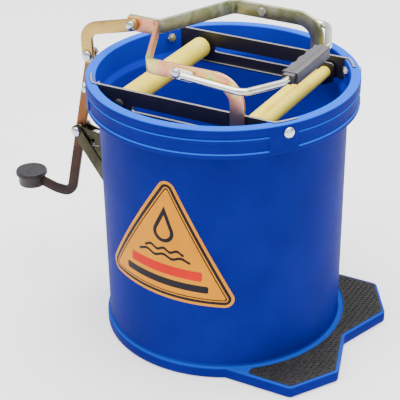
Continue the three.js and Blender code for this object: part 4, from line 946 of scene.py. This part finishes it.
# %% Carry handle and grip
HANDLE_Y, ROD_RADIUS, ROD_BEND = 106.8, 4.0, 14
EYE_Y, EYE_THICK, EYE_WIDTH = 104.3, 3, 13
GRIP_X, GRIP_Z, GRIP_WIDTH, GRIP_HEIGHT, GRIP_HALF = 102.5, 347.64, 18.5, 14, 41
FINGERS, FINGER_DEPTH, FINGER_PROUD = 4, 1.9, 0.6
END_WIDTH, END_HEIGHT, END_TAPER, END_LENGTH = 15, 11, 2.4, 94
RIB_LENGTH, RIB_CORNER = 74, 0.6
half = [(8, HANDLE_Y, 356.4), (80.5, HANDLE_Y, 351.5, ROD_BEND), (GRIP_X, 58, 348.14, ROD_BEND)]
path = bent_line(half + [(x, -y, *rest) for x, y, *rest in half[::-1]], 14)
rod = swept(path, round_section(ROD_RADIUS, 24))
eyes = [flat_bar([(0, YOKE_Z), (16, YOKE_Z - 1.4)], way * EYE_Y, EYE_THICK, EYE_WIDTH, 0.8)
        for way in (-1, 1)]
piece("handle_rod", boolean(rod, eyes, "UNION"), rod_zinc, "carry_handle", "bright_zinc", "carry_handle")


def finger_edge(y):
    """The finger side's x: shallow hollows for four fingers between fuller ends."""
    hollow = math.sin(math.pi * FINGERS * (y + GRIP_HALF) / (2 * GRIP_HALF)) ** 2
    return GRIP_X - GRIP_WIDTH / 2 - FINGER_PROUD + FINGER_DEPTH * hollow


def tapered_outline(bottom, top, z0, z1, corner):
    """Four corners about the grip's middle, from a bottom width to a top width."""
    return flat_outline([(GRIP_X - bottom / 2, z0, corner), (GRIP_X + bottom / 2, z0, corner),
                         (GRIP_X + top / 2, z1, corner), (GRIP_X - top / 2, z1, corner)])


finger_side = [(finger_edge(y), y) for y in range(GRIP_HALF, -GRIP_HALF - 1, -2)]
palm_side = [(GRIP_X + GRIP_WIDTH / 2, y) for y in (-GRIP_HALF, GRIP_HALF)]
grip_body = pressed([palm_side + finger_side], GRIP_HEIGHT, 1.6, "XY", GRIP_Z)
end_outline = tapered_outline(END_WIDTH - 2 * END_TAPER, END_WIDTH, GRIP_Z - END_HEIGHT / 2,
                              GRIP_Z + END_HEIGHT / 2, 2.2)
grip_ends = pressed([end_outline], END_LENGTH, 0.9)
grip_rib = pressed([tapered_outline(5.2, 4.0, GRIP_Z + 5, GRIP_Z + 7.5, RIB_CORNER)], RIB_LENGTH, 0.5)
piece("grip", boolean(grip_body, [grip_ends, grip_rib], "UNION"), charcoal_abs, "carry_handle",
      "charcoal_plastic", "handle_grip")
print("handle done")

# %% [markdown]
# ## Bolts, nuts and rivets
# The bolts have domed coach-bolt heads, and nearly all are M6. With the nuts, washers, plain pins and rivets
# they are all turned from a profile, and a nut is one turned in six steps. A list says where each goes: the
# body it rides on and its place, then its name, its CAD node, its profile and its number of sides.

# %% Fasteners
BOLT_Z, SCREW_X, SCREW_Y = 310, -150.6, 19
DOME = [(math.sin(math.radians(a)), math.cos(math.radians(a))) for a in range(0, 91, 9)]


def domed(radius, head_radius, head_height, seat, tip):
    cap = [(r * head_radius, seat - (0.18 + 0.82 * h) * head_height) for r, h in DOME]
    return [*cap, (head_radius, seat), (radius, seat), (radius, tip - 0.5), (radius - 0.5, tip), (0, tip)]


def ring(inner, outer_radius, low, high, chamfer=0.3, depth=0.3):
    half = [(inner, low), (outer_radius - chamfer, low), (outer_radius, low + depth)]
    return half + [(r, low + high - y) for r, y in half[::-1]] + half[:1]


def hexagon(radius, bore, low, high):
    return ring(bore, radius, low, high, 0.9, 0.5)


def m6_bolt(seat, tip):
    return domed(3, 6.2, 4.2, seat, tip)


def m6_nut(low, high):
    return hexagon(5.8, 3, low, high)


def mirrored(half):
    return half + [(r, -y) for r, y in half[::-1]]


def rivet(way, head=5.4, head_height=2.6, seat=106.1):
    tail = [(0, 96.1), (4.2, 96.1), (head, 96.8), (head, 98.1), (2.8, 98.1), (2.8, seat), (head, seat)]
    profile = tail + [(head * r, seat + 0.4 + head_height * h) for r, h in DOME[::-1]]
    return [(r, way * y) for r, y in profile]


fasteners = [
    ("bucket_body", FIXED_ROLLER, [
        ("axle_fixed", "fixed_roller_axle", domed(4, 6.8, 4.2, -97.9, 103.5), 48),
        ("axle_fixed_nut", "fixed_roller_nut", hexagon(6.8, 4, 97.9, 102.5), 6)]),
    ("carriage", PRESS_INNER, [
        ("axle_press", "press_axle_inner", m6_bolt(-102.7, 108.3), 48),
        ("axle_press_nut", "press_axle_nut", m6_nut(102.7, 107.3), 6)]),
    ("carriage", PRESS_OUTER, [
        ("axle_press_outer", "press_axle_outer",
         mirrored([(0, -93.3), (4.6, -93.3), (5, -92.9), (5, -92.3), (3, -92.3)]), 40)]),
    ("carriage", (YOKE_BOLT_X, YOKE_Z), [
        ("yoke_pin", "yoke_bolt", m6_bolt(-9.9, 10.2), 48),
        ("yoke_pin_nut", "yoke_nut", m6_nut(4.6, 9.2), 6)]),
    ("lever", LINK, [
        ("link_bolt", "link_pin", domed(3, 6.6, 4.2, -9.9, 8.65), 48),
        ("link_bolt_washer", "link_washer", ring(3.1, 6.5, -4.3, -3.05), 40),
        ("link_bolt_nut", "link_nut", m6_nut(3.05, 7.65), 6)]),
    ("bucket_body", PIVOT, [
        ("hinge_bolt", "pivot_bolt", m6_bolt(-11, 16.6), 48),
        ("hinge_nut", "pivot_nut", m6_nut(11, 15.6), 6),
        ("hinge_washer_near", "pivot_washer_near", ring(3.1, 6.5, -4.3, -3.05), 40),
        ("hinge_washer_far", "pivot_washer_far", ring(3.1, 6.5, 3.05, 4.3), 40)]),
    ("bucket_body", (SPRING_X, SPRING_Z), [
        ("coil_pin", "spring_pin", mirrored([(0, -7.4), (2.1, -7.4), (2.5, -7)]), 32)]),
    ("carriage", (0, YOKE_Z), [
        ("rivet_near", "handle_rivet_near", rivet(-1), 48),
        ("rivet_far", "handle_rivet_far", rivet(1), 48)]),
]


def fastener(name, node, body, mesh):
    finish, slot = (plain_black, "black_paint") if "fixed" in name else (bright_zinc, "bright_zinc")
    return piece(name, mesh, finish, body, slot, node, crease=25)


made = [fastener(name, node, body, turned(profile, (x, 0, z), steps=sides))
        for body, (x, z), group in fasteners for name, node, profile, sides in group]
for name, angle in (("far_right", BOLT_ANGLE), ("far_left", 180 - BOLT_ANGLE),
                    ("near_left", 180 + BOLT_ANGLE), ("near_right", 360 - BOLT_ANGLE)):
    place = Matrix.Translation((0, 0, BOLT_Z * MM)) @ Matrix.Rotation(math.radians(angle + 90), 4, "Z")
    for kind, profile, sides in (("bolt", m6_bolt(-155.3, -137.7), 48), ("nut", m6_nut(-142.05, -138.05), 6)):
        mesh = turned(profile, steps=sides)
        mesh.transform(place)
        made.append(fastener(f"rim_{kind}_{name}_fastener", f"rim_{kind}_{name}", "bucket_body", mesh))
for level, z in (("upper", 193), ("lower", 135)):
    for side, way in (("near", -1), ("far", 1)):
        mesh = turned(domed(2.2, 5, 2.6, 0, 8.8), (SCREW_X, way * SCREW_Y, z), along="X", steps=40)
        name = f"screw_{level}_{side}"
        made.append(fastener(name, f"bracket_{name}", "bucket_body", mesh))
print("fasteners", len(made))

# %% [markdown]
# ## Floor and light
# A plain pale floor that glows a little, a big soft light from the upper left, a weaker one from the right,
# one behind and the strongest overhead, so the plastic keeps long soft highlights and the plated steel has
# something bright to reflect.

# %% Floor
FLOOR_HALF, FLOOR_DROP = 6, 0.0005
floor = bpy.data.objects.new("floor", bpy.data.meshes.new("floor"))
floor.data.from_pydata([(x * FLOOR_HALF, y * FLOOR_HALF, 0) for x, y in ((-1, -1), (1, -1), (1, 1), (-1, 1))],
                       [], [(0, 1, 2, 3)])
floor.location.z = -FLOOR_DROP
bpy.context.collection.objects.link(floor)
pale_floor, tree, shader, place = new_material("pale_floor", Roughness=0.9, Emission_Strength=0.5)
paint(tree, shader, ramp(tree, noise(tree, place, 400, 2), (0.3, "#FCFCFC"), (0.7, "#FFFFFF")))
floor.data.materials.append(pale_floor)
print("floor", pale_floor.name)

# %% Lights
world = bpy.data.worlds.new("soft_room")
bpy.context.scene.world = world
world.use_nodes = True
world.node_tree.nodes["Background"].inputs["Color"].default_value = linear("#F6F7FA")
world.node_tree.nodes["Background"].inputs["Strength"].default_value = 1.0
AIM = Vector((0, 0, 0.18))
for name, place, size, power in (("key", (-1.2, -1.7, 2.6), 1.4, 42), ("fill", (2.2, -1.3, 1.5), 1.8, 18),
                                 ("back", (0.6, 2.2, 2.2), 1.6, 30), ("overhead", (0.1, 0.1, 2.6), 2.0, 110)):
    lamp = bpy.data.lights.new(name, "AREA")
    lamp.size, lamp.energy = size, power
    light = bpy.data.objects.new(name, lamp)
    light.location = place
    light.rotation_euler = (AIM - Vector(place)).to_track_quat("-Z", "Y").to_euler()
    bpy.context.collection.objects.link(light)
print("lights ready")
